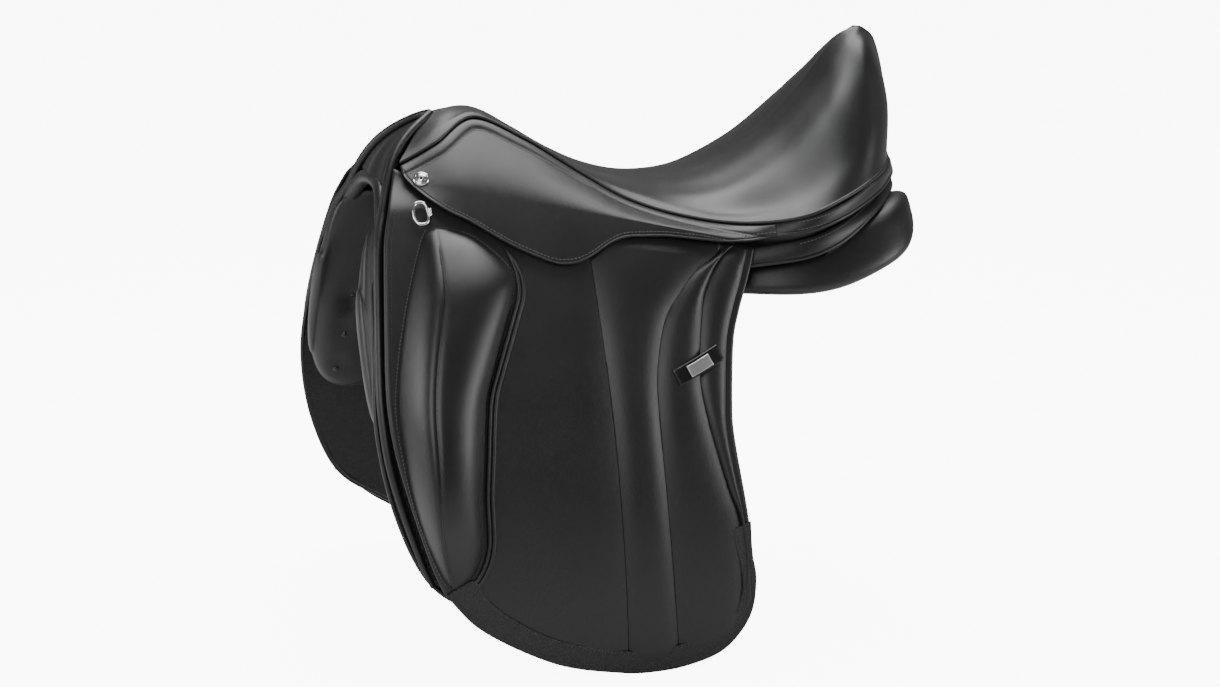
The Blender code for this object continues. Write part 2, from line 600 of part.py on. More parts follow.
# ---- panels and front ----
def panel(name, side, mats):
    rings = []
    for x, top, bottom, shift, thick, inner in PANEL_STATIONS:
        outer_top = side_y(x, top) + shift
        outer_low = side_y(x, bottom) + shift
        middle = (top + bottom) / 2
        outer_mid = side_y(x, middle) + shift
        slope = Vector((outer_low - outer_top, top - bottom)).normalized()
        inward = Vector((slope.y, slope.x))
        ring = [(outer_top, top), (outer_mid, middle), (outer_low, bottom + 0.004),
                (outer_low - thick * 0.5 * inward.x, bottom - 0.002),
                (outer_low - thick * inward.x, bottom + thick * 0.25),
                (outer_mid - thick * inward.x, middle - thick * inward.y * 0.6),
                (max(inner, outer_top - 2.2 * thick), top - thick * 0.75),
                (max(inner, outer_top - 1.9 * thick), top - thick * 0.10)]
        rings.append([Vector((x, side * y, z)) for y, z in ring])
    obj = loft(f"panel_{name}", rings, mats["leather"])
    subdivide(obj)
    return obj


def front(mats):
    """Head facing between the two front rolls, and the panel roll that bridges the arch."""
    rows = []
    for share in (0.0, 0.35, 0.7, 1.0):
        half = 0.003 + 0.040 * share
        centre = Vector((-0.184, 0, 0.4500)).lerp(Vector((-0.226, 0, 0.4050)), share)
        row = []
        for i in range(9):
            t = -1 + i / 4
            droop = 0.012 * share * t * t
            row.append(centre + Vector((-0.008 * share * t * t, half * t, -droop)))
        rows.append(row)
    bm = bmesh.new()
    grid_faces(bm, rows)
    aim(bm, (-1, 0, 0))
    obj = finish("head_facing", bm, mats["leather"])
    solidify(obj, 0.0025)
    arch = [(-0.214, 0.030 * t, 0.391 - 0.005 * t * t) for t in (-1.5, -1, -0.5, 0, 0.5, 1, 1.5)]
    tube("panel_bridge", arch, 0.007, mats["leather"])


def front_roll(name, side, mats):
    line = [(-0.178, 0.005, 0.4600), (-0.199, 0.026, 0.4430), (-0.213, 0.038, 0.4310),
            (-0.222, 0.046, 0.4190), (-0.2290, 0.052, 0.4080), (-0.2330, 0.058, 0.3950)]
    path = [(x, side * y, z) for x, y, z in (tuple(p) for p in smooth_line(line, 3))]
    tube(f"front_roll_{name}", path, 0.0035, mats["leather"])


def build():
    clear_scene()
    home = bpy.data.collections.new(COLLECTION)
    bpy.context.scene.collection.children.link(home)
    mats = {"leather": material("black_leather", (0.013, 0.013, 0.014), 0.42),
            "strap": material("strap_leather", (0.010, 0.010, 0.011), 0.30),
            "foam": material("seat_foam", (0.70, 0.66, 0.52), 0.90),
            "timber": material("laminated_beech", (0.42, 0.27, 0.14), 0.60),
            "web": material("jute_web", (0.45, 0.38, 0.27), 0.85),
            "steel": material("bar_steel", (0.42, 0.42, 0.43), 0.35, 1.0),
            "chrome": material("chrome", (0.80, 0.80, 0.82), 0.12, 1.0),
            "plate": material("satin_plate", (0.62, 0.62, 0.62), 0.35, 1.0)}
    whole = empty("saddle", CENTRE_SHIFT)
    tree(mats)
    head_plate(mats)
    webbing(mats)
    seat(mats)
    front(mats)
    cantle_band("skirt_tail", TAIL_UPPER, TAIL_LOWER, 0.0030, mats)
    cantle_band("panel_band", BAND_UPPER, BAND_LOWER, 0.0030, mats)
    for name, side in SIDES:
        hinge = empty(f"hinge_{name}", (HINGE_FRONT[0], side * HINGE_FRONT[1], HINGE_FRONT[2]), whole)
        stirrup_bar(name, side, mats)
        panel(name, side, mats)
        sheet(f"sweat_flap_{name}", [(p.x, p.y) for p in smooth_line(SWEAT_OUTLINE, 1)],
              lifted(SWEAT_LIFT), SWEAT_THICK, side, mats["leather"])
        sheet(f"flap_{name}", flap_outline(), lifted(FLAP_LIFT), FLAP_THICK, side, mats["leather"],
              pivot=hinge.location, parent=hinge)
        sheet(f"flap_border_{name}", border_outline(), lifted(BORDER_LIFT), BORDER_THICK, side,
              mats["leather"], pivot=hinge.location, parent=hinge)
        thigh_block(name, side, mats, hinge)
        keeper(name, side, mats, hinge)
        dee(name, side, mats, hinge)
        skirt_lobe(name, side, mats, hinge)
        skirt_yoke(name, side, mats)
        stud(name, side, mats)
        front_roll(name, side, mats)
        for place in BILLET_X:
            billet(place, name, side, mats)


build()
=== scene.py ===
"""The finished look of the dressage saddle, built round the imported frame.

Metres, +Z up.  +X runs from the pommel to the cantle and -Y is the near side.
Shapes are worked out in saddle coordinates, in which the centre plane is y = 0,
and are moved by CENTRE_SHIFT into the frame when a mesh is made.
"""
from math import cos, pi, radians, sin

import bmesh
import bpy
import numpy as np
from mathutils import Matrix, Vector
from mathutils.bvhtree import BVHTree


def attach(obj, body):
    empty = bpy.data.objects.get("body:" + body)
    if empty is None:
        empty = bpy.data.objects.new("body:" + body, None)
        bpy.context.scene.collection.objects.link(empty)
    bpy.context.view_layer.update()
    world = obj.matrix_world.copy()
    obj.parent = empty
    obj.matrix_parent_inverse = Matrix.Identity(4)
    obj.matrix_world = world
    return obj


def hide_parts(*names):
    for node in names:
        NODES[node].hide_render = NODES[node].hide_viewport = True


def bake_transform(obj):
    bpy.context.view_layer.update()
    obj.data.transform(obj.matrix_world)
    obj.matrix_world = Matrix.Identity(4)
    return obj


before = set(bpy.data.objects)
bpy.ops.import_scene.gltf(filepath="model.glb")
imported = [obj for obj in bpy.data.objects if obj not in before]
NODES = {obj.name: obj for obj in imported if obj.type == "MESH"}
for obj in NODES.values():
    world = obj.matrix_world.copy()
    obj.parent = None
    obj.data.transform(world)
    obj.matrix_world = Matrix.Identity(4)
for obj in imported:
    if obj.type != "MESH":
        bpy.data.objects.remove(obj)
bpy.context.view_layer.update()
CENTRE_SHIFT = np.array([0.00295, 0.0, 0.0001])
SIDES = (("left", -1), ("right", 1))

# ---- the side surface that every hanging layer follows ----
FLAP_SPREAD, FLAP_RISE, FLAP_PULL, FLAP_CURVE, FLARE = 0.220, 0.403, 0.135, 2.4, 0.04
HINGE_FRONT = np.array([-0.225, 0.0766, 0.418])
HINGE_REAR = np.array([0.100, 0.1400, 0.350])

# ---- flap: edges and sewn grooves, seen square on (x, z) ----
FLAP_FRONT = [(-0.2215, 0.4230), (-0.232, 0.391), (-0.242, 0.357), (-0.254, 0.268), (-0.254, 0.217),
              (-0.244, 0.166), (-0.228, 0.110), (-0.217, 0.083)]
FLAP_BOTTOM = [(-0.217, 0.083), (-0.185, 0.049), (-0.123, 0.015), (-0.067, 0.002), (-0.035, 0.0),
               (-0.002, 0.004), (0.029, 0.016), (0.051, 0.043), (0.057, 0.075)]
FLAP_BACK = [(0.085, 0.3470), (0.076, 0.327), (0.062, 0.299), (0.053, 0.274), (0.046, 0.229),
             (0.045, 0.196), (0.053, 0.127), (0.057, 0.075)]
FLAP_TOP = [(-0.2215, 0.423), (-0.190, 0.411), (-0.064, 0.380), (0.030, 0.361), (0.085, 0.347)]
GROOVE_A = [(-0.066, 0.380), (-0.065, 0.344), (-0.064, 0.292), (-0.061, 0.168), (-0.058, 0.053),
            (-0.057, 0.001)]
GROOVE_B = [(0.056, 0.355), (0.050, 0.345), (0.028, 0.332), (0.010, 0.315), (-0.006, 0.295),
            (-0.018, 0.257), (-0.021, 0.215), (-0.019, 0.134), (-0.015, 0.049), (-0.012, 0.002)]
GROOVE_C = [(0.068, 0.352), (0.054, 0.343), (0.040, 0.326), (0.029, 0.304), (0.019, 0.254),
            (0.022, 0.213), (0.035, 0.157), (0.044, 0.128), (0.047, 0.085), (0.043, 0.031)]
BINDING = 0.0065             # width of the flat strip along the flap's rear edge
BORDER_INNER = [(-0.217, 0.083), (-0.193, 0.095), (-0.182, 0.078), (-0.162, 0.060), (-0.131, 0.041),
                (-0.098, 0.029), (-0.066, 0.022), (-0.034, 0.020), (-0.001, 0.026), (0.025, 0.037),
                (0.041, 0.058), (0.044, 0.079), (0.037, 0.111), (0.036, 0.120), (0.053, 0.127)]

# ---- thigh block: front foot, ridge seam and rear foot from top to bottom, with its height ----
BLOCK_FRONT = [(-0.196, 0.3770), (-0.205, 0.372), (-0.217, 0.348), (-0.228, 0.320), (-0.237, 0.291),
               (-0.244, 0.260), (-0.247, 0.230), (-0.244, 0.190), (-0.239, 0.160), (-0.231, 0.130),
               (-0.220, 0.101), (-0.212, 0.089)]
BLOCK_REAR = [(-0.185, 0.3765), (-0.160, 0.366), (-0.136, 0.342), (-0.136, 0.326), (-0.148, 0.299),
              (-0.162, 0.268), (-0.172, 0.241), (-0.179, 0.190), (-0.182, 0.161), (-0.183, 0.122),
              (-0.192, 0.099), (-0.205, 0.090)]
BLOCK_HEIGHT = [0.004, 0.018, 0.030, 0.035, 0.038, 0.040, 0.041, 0.040, 0.037, 0.031, 0.018, 0.004]
RIDGE_SHARE = [0.30, 0.29, 0.27, 0.26, 0.27, 0.29, 0.31, 0.30, 0.26, 0.20, 0.18, 0.30]

# ---- sweat flap, under the flap and ahead of it ----
SWEAT_FRONT = [(-0.226, 0.398), (-0.247, 0.350), (-0.257, 0.270), (-0.260, 0.210), (-0.249, 0.145),
               (-0.224, 0.088)]
SWEAT_BOTTOM = [(-0.224, 0.088), (-0.185, 0.058), (-0.123, 0.026), (-0.067, 0.013), (-0.002, 0.016),
                (0.026, 0.030), (0.046, 0.076)]
SWEAT_BACK = [(0.042, 0.346), (0.052, 0.330), (0.038, 0.270), (0.034, 0.195), (0.046, 0.076)]
SWEAT_TOP = [(-0.226, 0.398), (-0.060, 0.370), (0.042, 0.346)]

# ---- skirt hem, pommel beak to the rear (x, z) ----
SKIRT_HEM = [(-0.216, 0.4210), (-0.214, 0.4165), (-0.207, 0.409), (-0.196, 0.400), (-0.181, 0.390),
             (-0.165, 0.382), (-0.149, 0.372), (-0.134, 0.363), (-0.118, 0.355), (-0.099, 0.347),
             (-0.088, 0.345), (-0.075, 0.346), (-0.061, 0.351), (-0.045, 0.359), (-0.031, 0.363),
             (-0.015, 0.363), (0.007, 0.362), (0.036, 0.358), (0.065, 0.355), (0.104, 0.357)]

# ---- seat: half sections from the centre line to the welt, front to rear ----
SEAT_SECTIONS = [
    [(-0.171, 0.000, 0.4600), (-0.180, 0.013, 0.4550), (-0.190, 0.024, 0.4490),
     (-0.203, 0.042, 0.4390), (-0.216, 0.061, 0.4290)],
    [(-0.153, 0.000, 0.4625), (-0.157, 0.011, 0.4605), (-0.163, 0.021, 0.4570),
     (-0.172, 0.033, 0.4510), (-0.180, 0.046, 0.4420)],
    [(-0.128, 0.000, 0.4590), (-0.130, 0.006, 0.4600), (-0.133, 0.012, 0.4605),
     (-0.137, 0.018, 0.4605), (-0.141, 0.0235, 0.4590)],
    [(-0.095, 0.000, 0.4390), (-0.095, 0.011, 0.4400), (-0.096, 0.021, 0.4405),
     (-0.097, 0.030, 0.4405), (-0.098, 0.0375, 0.4405)],
    [(-0.055, 0.000, 0.4125), (-0.055, 0.018, 0.4145), (-0.055, 0.034, 0.4150),
     (-0.054, 0.047, 0.4140), (-0.053, 0.056, 0.4115)],
    [(-0.014, 0.000, 0.3955), (-0.014, 0.026, 0.3965), (-0.014, 0.048, 0.3960),
     (-0.014, 0.065, 0.3935), (-0.014, 0.075, 0.3885)],
    [(0.032, 0.000, 0.3910), (0.032, 0.033, 0.3900), (0.032, 0.062, 0.3850),
     (0.032, 0.084, 0.3800), (0.031, 0.096, 0.3745)],
    [(0.080, 0.000, 0.3990), (0.080, 0.038, 0.3960), (0.080, 0.072, 0.3860),
     (0.080, 0.100, 0.3770), (0.080, 0.117, 0.3690)],
    [(0.130, 0.000, 0.4270), (0.130, 0.035, 0.4240), (0.131, 0.072, 0.4090),
     (0.130, 0.112, 0.3920), (0.128, 0.137, 0.3755)],
    [(0.170, 0.000, 0.4640), (0.171, 0.032, 0.4600), (0.173, 0.064, 0.4440),
     (0.172, 0.104, 0.4170), (0.168, 0.130, 0.3880)],
    [(0.196, 0.000, 0.4960), (0.200, 0.026, 0.4920), (0.208, 0.052, 0.4770),
     (0.212, 0.084, 0.4360), (0.208, 0.103, 0.4000)],
    [(0.2125, 0.000, 0.5120), (0.218, 0.018, 0.5090), (0.229, 0.033, 0.4960),
     (0.240, 0.047, 0.4530), (0.236, 0.060, 0.4070)],
    [(0.224, 0.000, 0.5190), (0.234, 0.000, 0.5165), (0.246, 0.000, 0.5030),
     (0.2555, 0.000, 0.4600), (0.251, 0.000, 0.4140)],
]

# ---- bands round the cantle: upper and lower guide ----
TAIL_UPPER = [(0.094, 0.1215, 0.3670), (0.130, 0.1375, 0.3725), (0.163, 0.1340, 0.3815),
              (0.196, 0.1130, 0.3926), (0.213, 0.0980, 0.3977), (0.238, 0.0600, 0.4042),
              (0.2515, 0.0, 0.4100)]
TAIL_LOWER = [(0.094, 0.1305, 0.3570), (0.133, 0.1405, 0.3625), (0.169, 0.1330, 0.3720),
              (0.205, 0.1080, 0.3830), (0.225, 0.0840, 0.3885), (0.246, 0.0460, 0.3930),
              (0.2540, 0.0, 0.3960)]
BAND_UPPER = [(0.062, 0.1150, 0.3440), (0.088, 0.1260, 0.3470), (0.130, 0.1350, 0.3540),
              (0.165, 0.1280, 0.3640),
              (0.201, 0.1030, 0.3770), (0.221, 0.0800, 0.3830), (0.243, 0.0440, 0.3880),
              (0.2510, 0.0, 0.3910)]
STITCHING_FROM, LINING_FROM = 0.116, 0.150    # where the bands' stitching and the lining begin
BAND_LOWER = [(0.062, 0.1210, 0.3300), (0.088, 0.1320, 0.3330), (0.132, 0.1400, 0.3390),
              (0.168, 0.1330, 0.3500),
              (0.203, 0.1120, 0.3680), (0.224, 0.0870, 0.3760), (0.245, 0.0480, 0.3810),
              (0.2530, 0.0, 0.3840)]

# ---- panel: x, top, bottom, outward shift of the outer face, thickness, inner top half-width ----
PANEL_STATIONS = [(-0.2565, 0.325, 0.215, -0.040, 0.022, 0.070),
                  (-0.2480, 0.376, 0.186, -0.034, 0.036, 0.058),
                  (-0.2230, 0.390, 0.174, -0.032, 0.044, 0.050),
                  (-0.195, 0.388, 0.180, -0.032, 0.044, 0.042),
                  (-0.150, 0.378, 0.218, -0.032, 0.036, 0.038),
                  (-0.090, 0.362, 0.262, -0.032, 0.032, 0.036),
                  (-0.030, 0.352, 0.290, -0.031, 0.034, 0.035),
                  (0.030, 0.348, 0.302, -0.037, 0.040, 0.035),
                  (0.075, 0.350, 0.303, -0.028, 0.048, 0.035),
                  (0.120, 0.362, 0.301, -0.008, 0.054, 0.035),
                  (0.165, 0.374, 0.304, -0.006, 0.056, 0.035),
                  (0.205, 0.373, 0.319, -0.006, 0.054, 0.035),
                  (0.228, 0.379, 0.327, -0.014, 0.053, 0.036),
                  (0.243, 0.380, 0.336, -0.027, 0.045, 0.040),
                  (0.2525, 0.377, 0.348, -0.044, 0.028, 0.046),
                  (0.2545, 0.373, 0.357, -0.055, 0.012, 0.052)]

ROLL_PEAK = (-0.172, 0.000, 0.459)       # where the two front rolls meet, at the top of the pommel
ROLL_FOOT = (-0.232, 0.067, 0.3845)      # where a roll comes out onto the front edge of the flap
ROLL_BEND, ROLL_BEND_SHARE = 4, 0.6      # how sharply the roll comes forward below its peak
ROLL_SPREAD = 0.68                       # how soon the pair opens
ROLL_AHEAD = 0.0045                      # how far the roll stands ahead of the flap's lower front edge
ARCH = [(-0.2240, 0.1050, 0.3000), (-0.2300, 0.0880, 0.3350), (-0.2320, 0.0690, 0.3650),
        (-0.2290, 0.0500, 0.3860), (-0.2250, 0.0300, 0.3985), (-0.2230, 0.0, 0.4020)]
KEEPER_ENDS = ((-0.004, 0.250), (0.038, 0.269))
TUCK, TUCK_FROM, TUCK_RUN = 0.010, -0.165, 0.055
TUCK_LOW, TUCK_RISE = 0.389, 0.030
STUD_X, STUD_Z, STUD_RADIUS = -0.2030, 0.4225, 0.0070
WELD, SHARP_ANGLE = 0.000002, 58
STITCH_PITCH, STITCH_LENGTH, THREAD = 0.0034, 0.0024, 0.00038


# ---- lines and surfaces ----
def side_y(x, z):
    return FLAP_SPREAD - FLAP_PULL * (np.maximum(z, 0.0) / FLAP_RISE) ** FLAP_CURVE + FLARE * x


def hinge_at(x):
    share = (x - HINGE_FRONT[0]) / (HINGE_REAR[0] - HINGE_FRONT[0])
    return HINGE_FRONT[1] + share * (HINGE_REAR[1] - HINGE_FRONT[1]), \
        HINGE_FRONT[2] + share * (HINGE_REAR[2] - HINGE_FRONT[2])


def skirt_y(x, z):
    y, top = hinge_at(x)
    return side_y(x, z) + y - side_y(x, top)


def smooth_line(points, steps=8):
    """Catmull-Rom curve through the points, `steps` pieces for each span."""
    pts = np.asarray(points, float)
    pts = np.vstack([2 * pts[0] - pts[1], pts, 2 * pts[-1] - pts[-2]])
    line = []
    for a, b, c, d in zip(pts, pts[1:], pts[2:], pts[3:]):
        for i in range(steps):
            t = i / steps
            line.append(0.5 * (2 * b + (c - a) * t + (2 * a - 5 * b + 4 * c - d) * t * t
                               + (3 * b - a - 3 * c + d) * t ** 3))
    return np.array(line + [pts[-2]])


def shares_along(line):
    gaps = np.linalg.norm(np.diff(line, axis=0), axis=1)
    along = np.concatenate([[0.0], np.cumsum(gaps)])
    return along / along[-1], along[-1]


def resample(line, shares):
    line = np.asarray(line, float)
    along, _ = shares_along(line)
    return np.stack([np.interp(shares, along, line[:, k]) for k in range(line.shape[1])], axis=1)


def ease(count):
    """Positions from 0 to 1 that crowd towards both ends, where edges and seams are."""
    return 0.5 - 0.5 * np.cos(np.pi * np.arange(count + 1) / count)


def share_of(line, point):
    along, _ = shares_along(line)
    return along[np.argmin(np.linalg.norm(line - point, axis=1))]


def patch(guides, top, bottom, spans, rows):
    """(x, z) grid lofted across guides that run top to bottom, and bent to meet both end lines."""
    fall = ease(rows)
    lines = [resample(smooth_line(g), fall) for g in guides]
    ends = [smooth_line(line, 24) for line in (top, bottom)]
    columns, shares, mark = [], [[], []], [0]
    for a, b, count in zip(lines, lines[1:], spans):
        from_to = [(share_of(end, a[row]), share_of(end, b[row])) for end, row in zip(ends, (0, -1))]
        for t in ease(count)[:-1]:
            columns.append(a * (1 - t) + b * t)
            for held, (start, stop) in zip(shares, from_to):
                held.append(start + (stop - start) * t)
        mark.append(len(columns))
    columns.append(lines[-1])
    for held, end in zip(shares, ends):
        held.append(share_of(end, lines[-1][0 if held is shares[0] else -1]))
    grid = np.stack(columns, axis=1)
    above, below = (resample(end, np.array(held)) for held, end in zip(shares, ends))
    near_top = ((1 - fall) ** 3)[:, None, None]
    near_bottom = (fall ** 3)[:, None, None]
    grid = grid + near_top * (above - grid[0]) + near_bottom * (below - grid[-1])
    return grid, mark


def rim_of(grid):
    return np.concatenate([grid[0, :-1], grid[:-1, -1], grid[-1, :0:-1], grid[:0:-1, 0]])


def edge_distance(grid):
    """Distance of every grid point from the outline, in the grid's own plane."""
    rim = rim_of(grid)
    flat = grid.reshape(-1, grid.shape[-1])
    nearest = np.full(len(flat), 1e9)
    for a, b in zip(rim, np.roll(rim, -1, axis=0)):
        run = b - a
        length = run @ run
        t = np.clip((flat - a) @ run / length, 0, 1) if length > 0 else np.zeros(len(flat))
        nearest = np.minimum(nearest, np.linalg.norm(flat - a - t[:, None] * run, axis=1))
    return nearest.reshape(grid.shape[:2])


def rounded(distance, radius):
    """0 at the edge, 1 beyond radius, along a quarter circle."""
    return np.sqrt(np.clip(1 - (1 - np.minimum(distance / radius, 1)) ** 2, 0, 1))


def drape(grid, lift, side, base=side_y):
    x, z = grid[..., 0], grid[..., 1]
    return np.stack([x, side * (base(x, z) + lift), z], axis=-1)


def smooth_step(value):
    t = np.clip(value, 0, 1)
    return t * t * (3 - 2 * t)


def tucked(points):
    """The front corner of the seat, skirt and flap, drawn in round the pommel towards the front roll."""
    points = np.array(points, float)
    share = smooth_step((TUCK_FROM - points[..., 0]) / TUCK_RUN)
    share = share * smooth_step((points[..., 2] - TUCK_LOW) / TUCK_RISE)
    points[..., 0] += 0.306 * TUCK * share
    points[..., 1] -= np.sign(points[..., 1]) * np.minimum(TUCK * share, np.abs(points[..., 1]))
    points[..., 2] -= 0.26 * TUCK * share
    return points


# ---- meshes ----
def make(name, points, faces, mat, body, closed=False):
    """An object from points in saddle coordinates; a closed one is welded and turned outwards."""
    mesh = bpy.data.meshes.new(name)
    mesh.from_pydata((np.asarray(points, float) + CENTRE_SHIFT).tolist(), [], [tuple(f) for f in faces])
    if closed:
        bm = bmesh.new()
        bm.from_mesh(mesh)
        bmesh.ops.remove_doubles(bm, verts=bm.verts, dist=WELD)
        bmesh.ops.dissolve_degenerate(bm, edges=bm.edges, dist=WELD)
        bmesh.ops.recalc_face_normals(bm, faces=bm.faces)
        if bm.calc_volume(signed=True) < 0:
            bmesh.ops.reverse_faces(bm, faces=bm.faces)
        bm.to_mesh(mesh)
        bm.free()
    mesh.materials.append(mat)
    mesh.shade_smooth()
    mesh.set_sharp_from_angle(angle=radians(SHARP_ANGLE))
    obj = bpy.data.objects.new(name, mesh)
    bpy.context.scene.collection.objects.link(obj)
    if body:
        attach(obj, body)
    return obj


def grid_quads(rows, columns, offset=0, flip=False, wrap=False):
    quads = []
    for r in range(rows - 1):
        for c in range(columns if wrap else columns - 1):
            d = (c + 1) % columns
            quad = (offset + r * columns + c, offset + r * columns + d,
                    offset + (r + 1) * columns + d, offset + (r + 1) * columns + c)
            quads.append(quad[::-1] if flip else quad)
    return quads


def shell(name, outer, inner, mat, body, sides="tblr"):
    """A closed sheet from an outer and an inner grid.

    The sides named in `sides` (t first row, b last row, l first column, r last column) are
    joined by a rim; where the two grids already meet there, the rim closes to nothing.
    """
    rows, columns = outer.shape[:2]
    index = np.arange(rows * columns).reshape(rows, columns)
    under = index + rows * columns
    faces = grid_quads(rows, columns) + grid_quads(rows, columns, rows * columns, flip=True)
    rims = {"t": (index[0], under[0]), "b": (index[-1][::-1], under[-1][::-1]),
            "l": (index[:, 0][::-1], under[:, 0][::-1]), "r": (index[:, -1], under[:, -1])}
    for key in sides:
        high, low = rims[key]
        for a, b, c, d in zip(high, high[1:], low[1:], low):
            faces.append((int(a), int(d), int(c), int(b)))
    points = np.concatenate([outer.reshape(-1, 3), inner.reshape(-1, 3)])
    return make(name, points, faces, mat, body, closed=True)


def sweep(name, path, radius, mat, body, segments=10, flat=1.0, closed=False):
    """A round or flattened cord along a path."""
    path = np.asarray(path, float)
    count = len(path)
    sizes = np.ones(count) * radius
    if not closed:
        sizes[[0, -1]] *= 0.35
    rings = []
    side_way = None
    for i, point in enumerate(path):
        ahead = path[(i + 1) % count] if closed else path[min(i + 1, count - 1)]
        behind = path[i - 1] if closed else path[max(i - 1, 0)]
        run = (ahead - behind) / np.linalg.norm(ahead - behind)
        if side_way is None:
            side_way = np.cross(run, [0, 0, 1.0])
            if np.linalg.norm(side_way) < 0.1:
                side_way = np.cross(run, [0, 1.0, 0])
        side_way = side_way - run * (side_way @ run)
        side_way = side_way / np.linalg.norm(side_way)
        rise = np.cross(side_way, run)
        size = sizes[i]
        angles = 2 * pi * np.arange(segments) / segments
        rings.append(point + size * (np.cos(angles)[:, None] * side_way
                                     + flat * np.sin(angles)[:, None] * rise))
    points = np.concatenate(rings)
    faces = grid_quads(count, segments, wrap=True)
    if closed:
        last = (count - 1) * segments
        faces += [(last + c, last + (c + 1) % segments, (c + 1) % segments, c) for c in range(segments)]
    else:
        faces += [tuple(range(segments))[::-1], tuple(range((count - 1) * segments, count * segments))]
    return make(name, points, faces, mat, body, closed=True)


def surface_tree(obj):
    mesh = obj.data
    return BVHTree.FromPolygons([v.co for v in mesh.vertices], [tuple(p.vertices) for p in mesh.polygons])


def laid_on(tree, points):
    """The points moved onto a surface, with the surface's normals, in saddle coordinates."""
    places, normals = [], []
    for point in points:
        place, normal, _, _ = tree.find_nearest(Vector(point + CENTRE_SHIFT))
        places.append(np.array(place) - CENTRE_SHIFT)
        normals.append(np.array(normal))
    return np.array(places), np.array(normals)


def stitches(name, path, tree, mat, body, pitch=STITCH_PITCH, length=STITCH_LENGTH, thread=THREAD):
    """A run of separate thread stitches lying on a surface."""
    path = np.asarray(path, float)
    _, total = shares_along(path)
    count = max(2, int(total / pitch))
    middles = resample(path, (np.arange(count) + 0.5) / count)
    places, normals = laid_on(tree, middles)
    around = 6
    profile = [(-0.5, 0.25), (-0.34, 0.85), (0.0, 1.0), (0.34, 0.85), (0.5, 0.25)]
    points, faces = [], []
    for i, (place, normal) in enumerate(zip(places, normals)):
        run = places[min(i + 1, count - 1)] - places[max(i - 1, 0)]
        run = run - normal * (run @ normal)
        run = run / np.linalg.norm(run)
        wide = np.cross(normal, run)
        start = len(points)
        for along, size in profile:
            for k in range(around):
                angle = 2 * pi * k / around
                points.append(place + run * along * length + normal * thread * 0.45
                              + thread * size * (cos(angle) * wide + sin(angle) * normal * 0.8))
        faces += grid_quads(len(profile), around, start, wrap=True)
        faces.append(tuple(start + k for k in range(around))[::-1])
        end = start + (len(profile) - 1) * around
        faces.append(tuple(end + k for k in range(around)))
    return make(name, points, faces, mat, body)


# ---- materials ----
def node(tree, kind, **values):
    made = tree.nodes.new(kind)
    for key, value in values.items():
        if hasattr(made, key):
            setattr(made, key, value)
        else:
            made.inputs[key.replace("_", " ").title()].default_value = value
    return made


def leather(name, colour, roughness, cell, depth, sheen=0.05, variation=0.25, wear=0.5):
    """Leather with a pebbled grain of the given cell size in metres, worn a little along its edges."""
    mat = bpy.data.materials.new(name)
    mat.use_nodes = True
    tree = mat.node_tree
    shader = tree.nodes["Principled BSDF"]
    place = node(tree, "ShaderNodeTexCoord").outputs["Object"]
    warp = node(tree, "ShaderNodeTexNoise", scale=0.35 / cell, detail=2.0)
    tree.links.new(place, warp.inputs["Vector"])
    bent = node(tree, "ShaderNodeVectorMath", operation="MULTIPLY_ADD")
    tree.links.new(warp.outputs["Color"], bent.inputs[0])
    bent.inputs[1].default_value = (cell * 0.8,) * 3
    tree.links.new(place, bent.inputs[2])
    grain = node(tree, "ShaderNodeTexVoronoi", feature="DISTANCE_TO_EDGE", scale=1.0 / cell)
    tree.links.new(bent.outputs[0], grain.inputs["Vector"])
    crease = node(tree, "ShaderNodeMapRange")
    crease.inputs["From Max"].default_value = 0.22
    tree.links.new(grain.outputs["Distance"], crease.inputs["Value"])
    pores = node(tree, "ShaderNodeTexNoise", scale=2.2 / cell, detail=3.0)
    tree.links.new(place, pores.inputs["Vector"])
    broad = node(tree, "ShaderNodeTexNoise", scale=16.0, detail=4.0)
    tree.links.new(place, broad.inputs["Vector"])

    fine = node(tree, "ShaderNodeBump", strength=0.35, distance=depth * 0.5)
    tree.links.new(pores.outputs["Fac"], fine.inputs["Height"])
    pebble = node(tree, "ShaderNodeBump", strength=0.8, distance=depth)
    tree.links.new(crease.outputs["Result"], pebble.inputs["Height"])
    tree.links.new(fine.outputs["Normal"], pebble.inputs["Normal"])
    tree.links.new(pebble.outputs["Normal"], shader.inputs["Normal"])

    rough = node(tree, "ShaderNodeMapRange")
    rough.inputs["To Min"].default_value = roughness - 0.07
    rough.inputs["To Max"].default_value = roughness + 0.07
    tree.links.new(broad.outputs["Fac"], rough.inputs["Value"])
    tree.links.new(rough.outputs["Result"], shader.inputs["Roughness"])

    dark = tuple(c * (1 - variation) for c in colour)
    light = tuple(c * (1 + variation) for c in colour)
    tint = node(tree, "ShaderNodeMix", data_type="RGBA")
    tint.inputs["A"].default_value = (*dark, 1)
    tint.inputs["B"].default_value = (*light, 1)
    tree.links.new(broad.outputs["Fac"], tint.inputs["Factor"])
    edge = node(tree, "ShaderNodeMapRange")
    edge.inputs["From Min"].default_value = 0.53
    edge.inputs["From Max"].default_value = 0.62
    edge.inputs["To Max"].default_value = wear
    tree.links.new(node(tree, "ShaderNodeNewGeometry").outputs["Pointiness"], edge.inputs["Value"])
    worn = node(tree, "ShaderNodeMix", data_type="RGBA")
    worn.inputs["B"].default_value = (*(c * 2.6 for c in colour), 1)
    tree.links.new(edge.outputs["Result"], worn.inputs["Factor"])
    tree.links.new(tint.outputs[2], worn.inputs["A"])
    tree.links.new(worn.outputs[2], shader.inputs["Base Color"])
    shader.inputs["Sheen Weight"].default_value = sheen
    shader.inputs["Sheen Roughness"].default_value = 0.4
    return mat


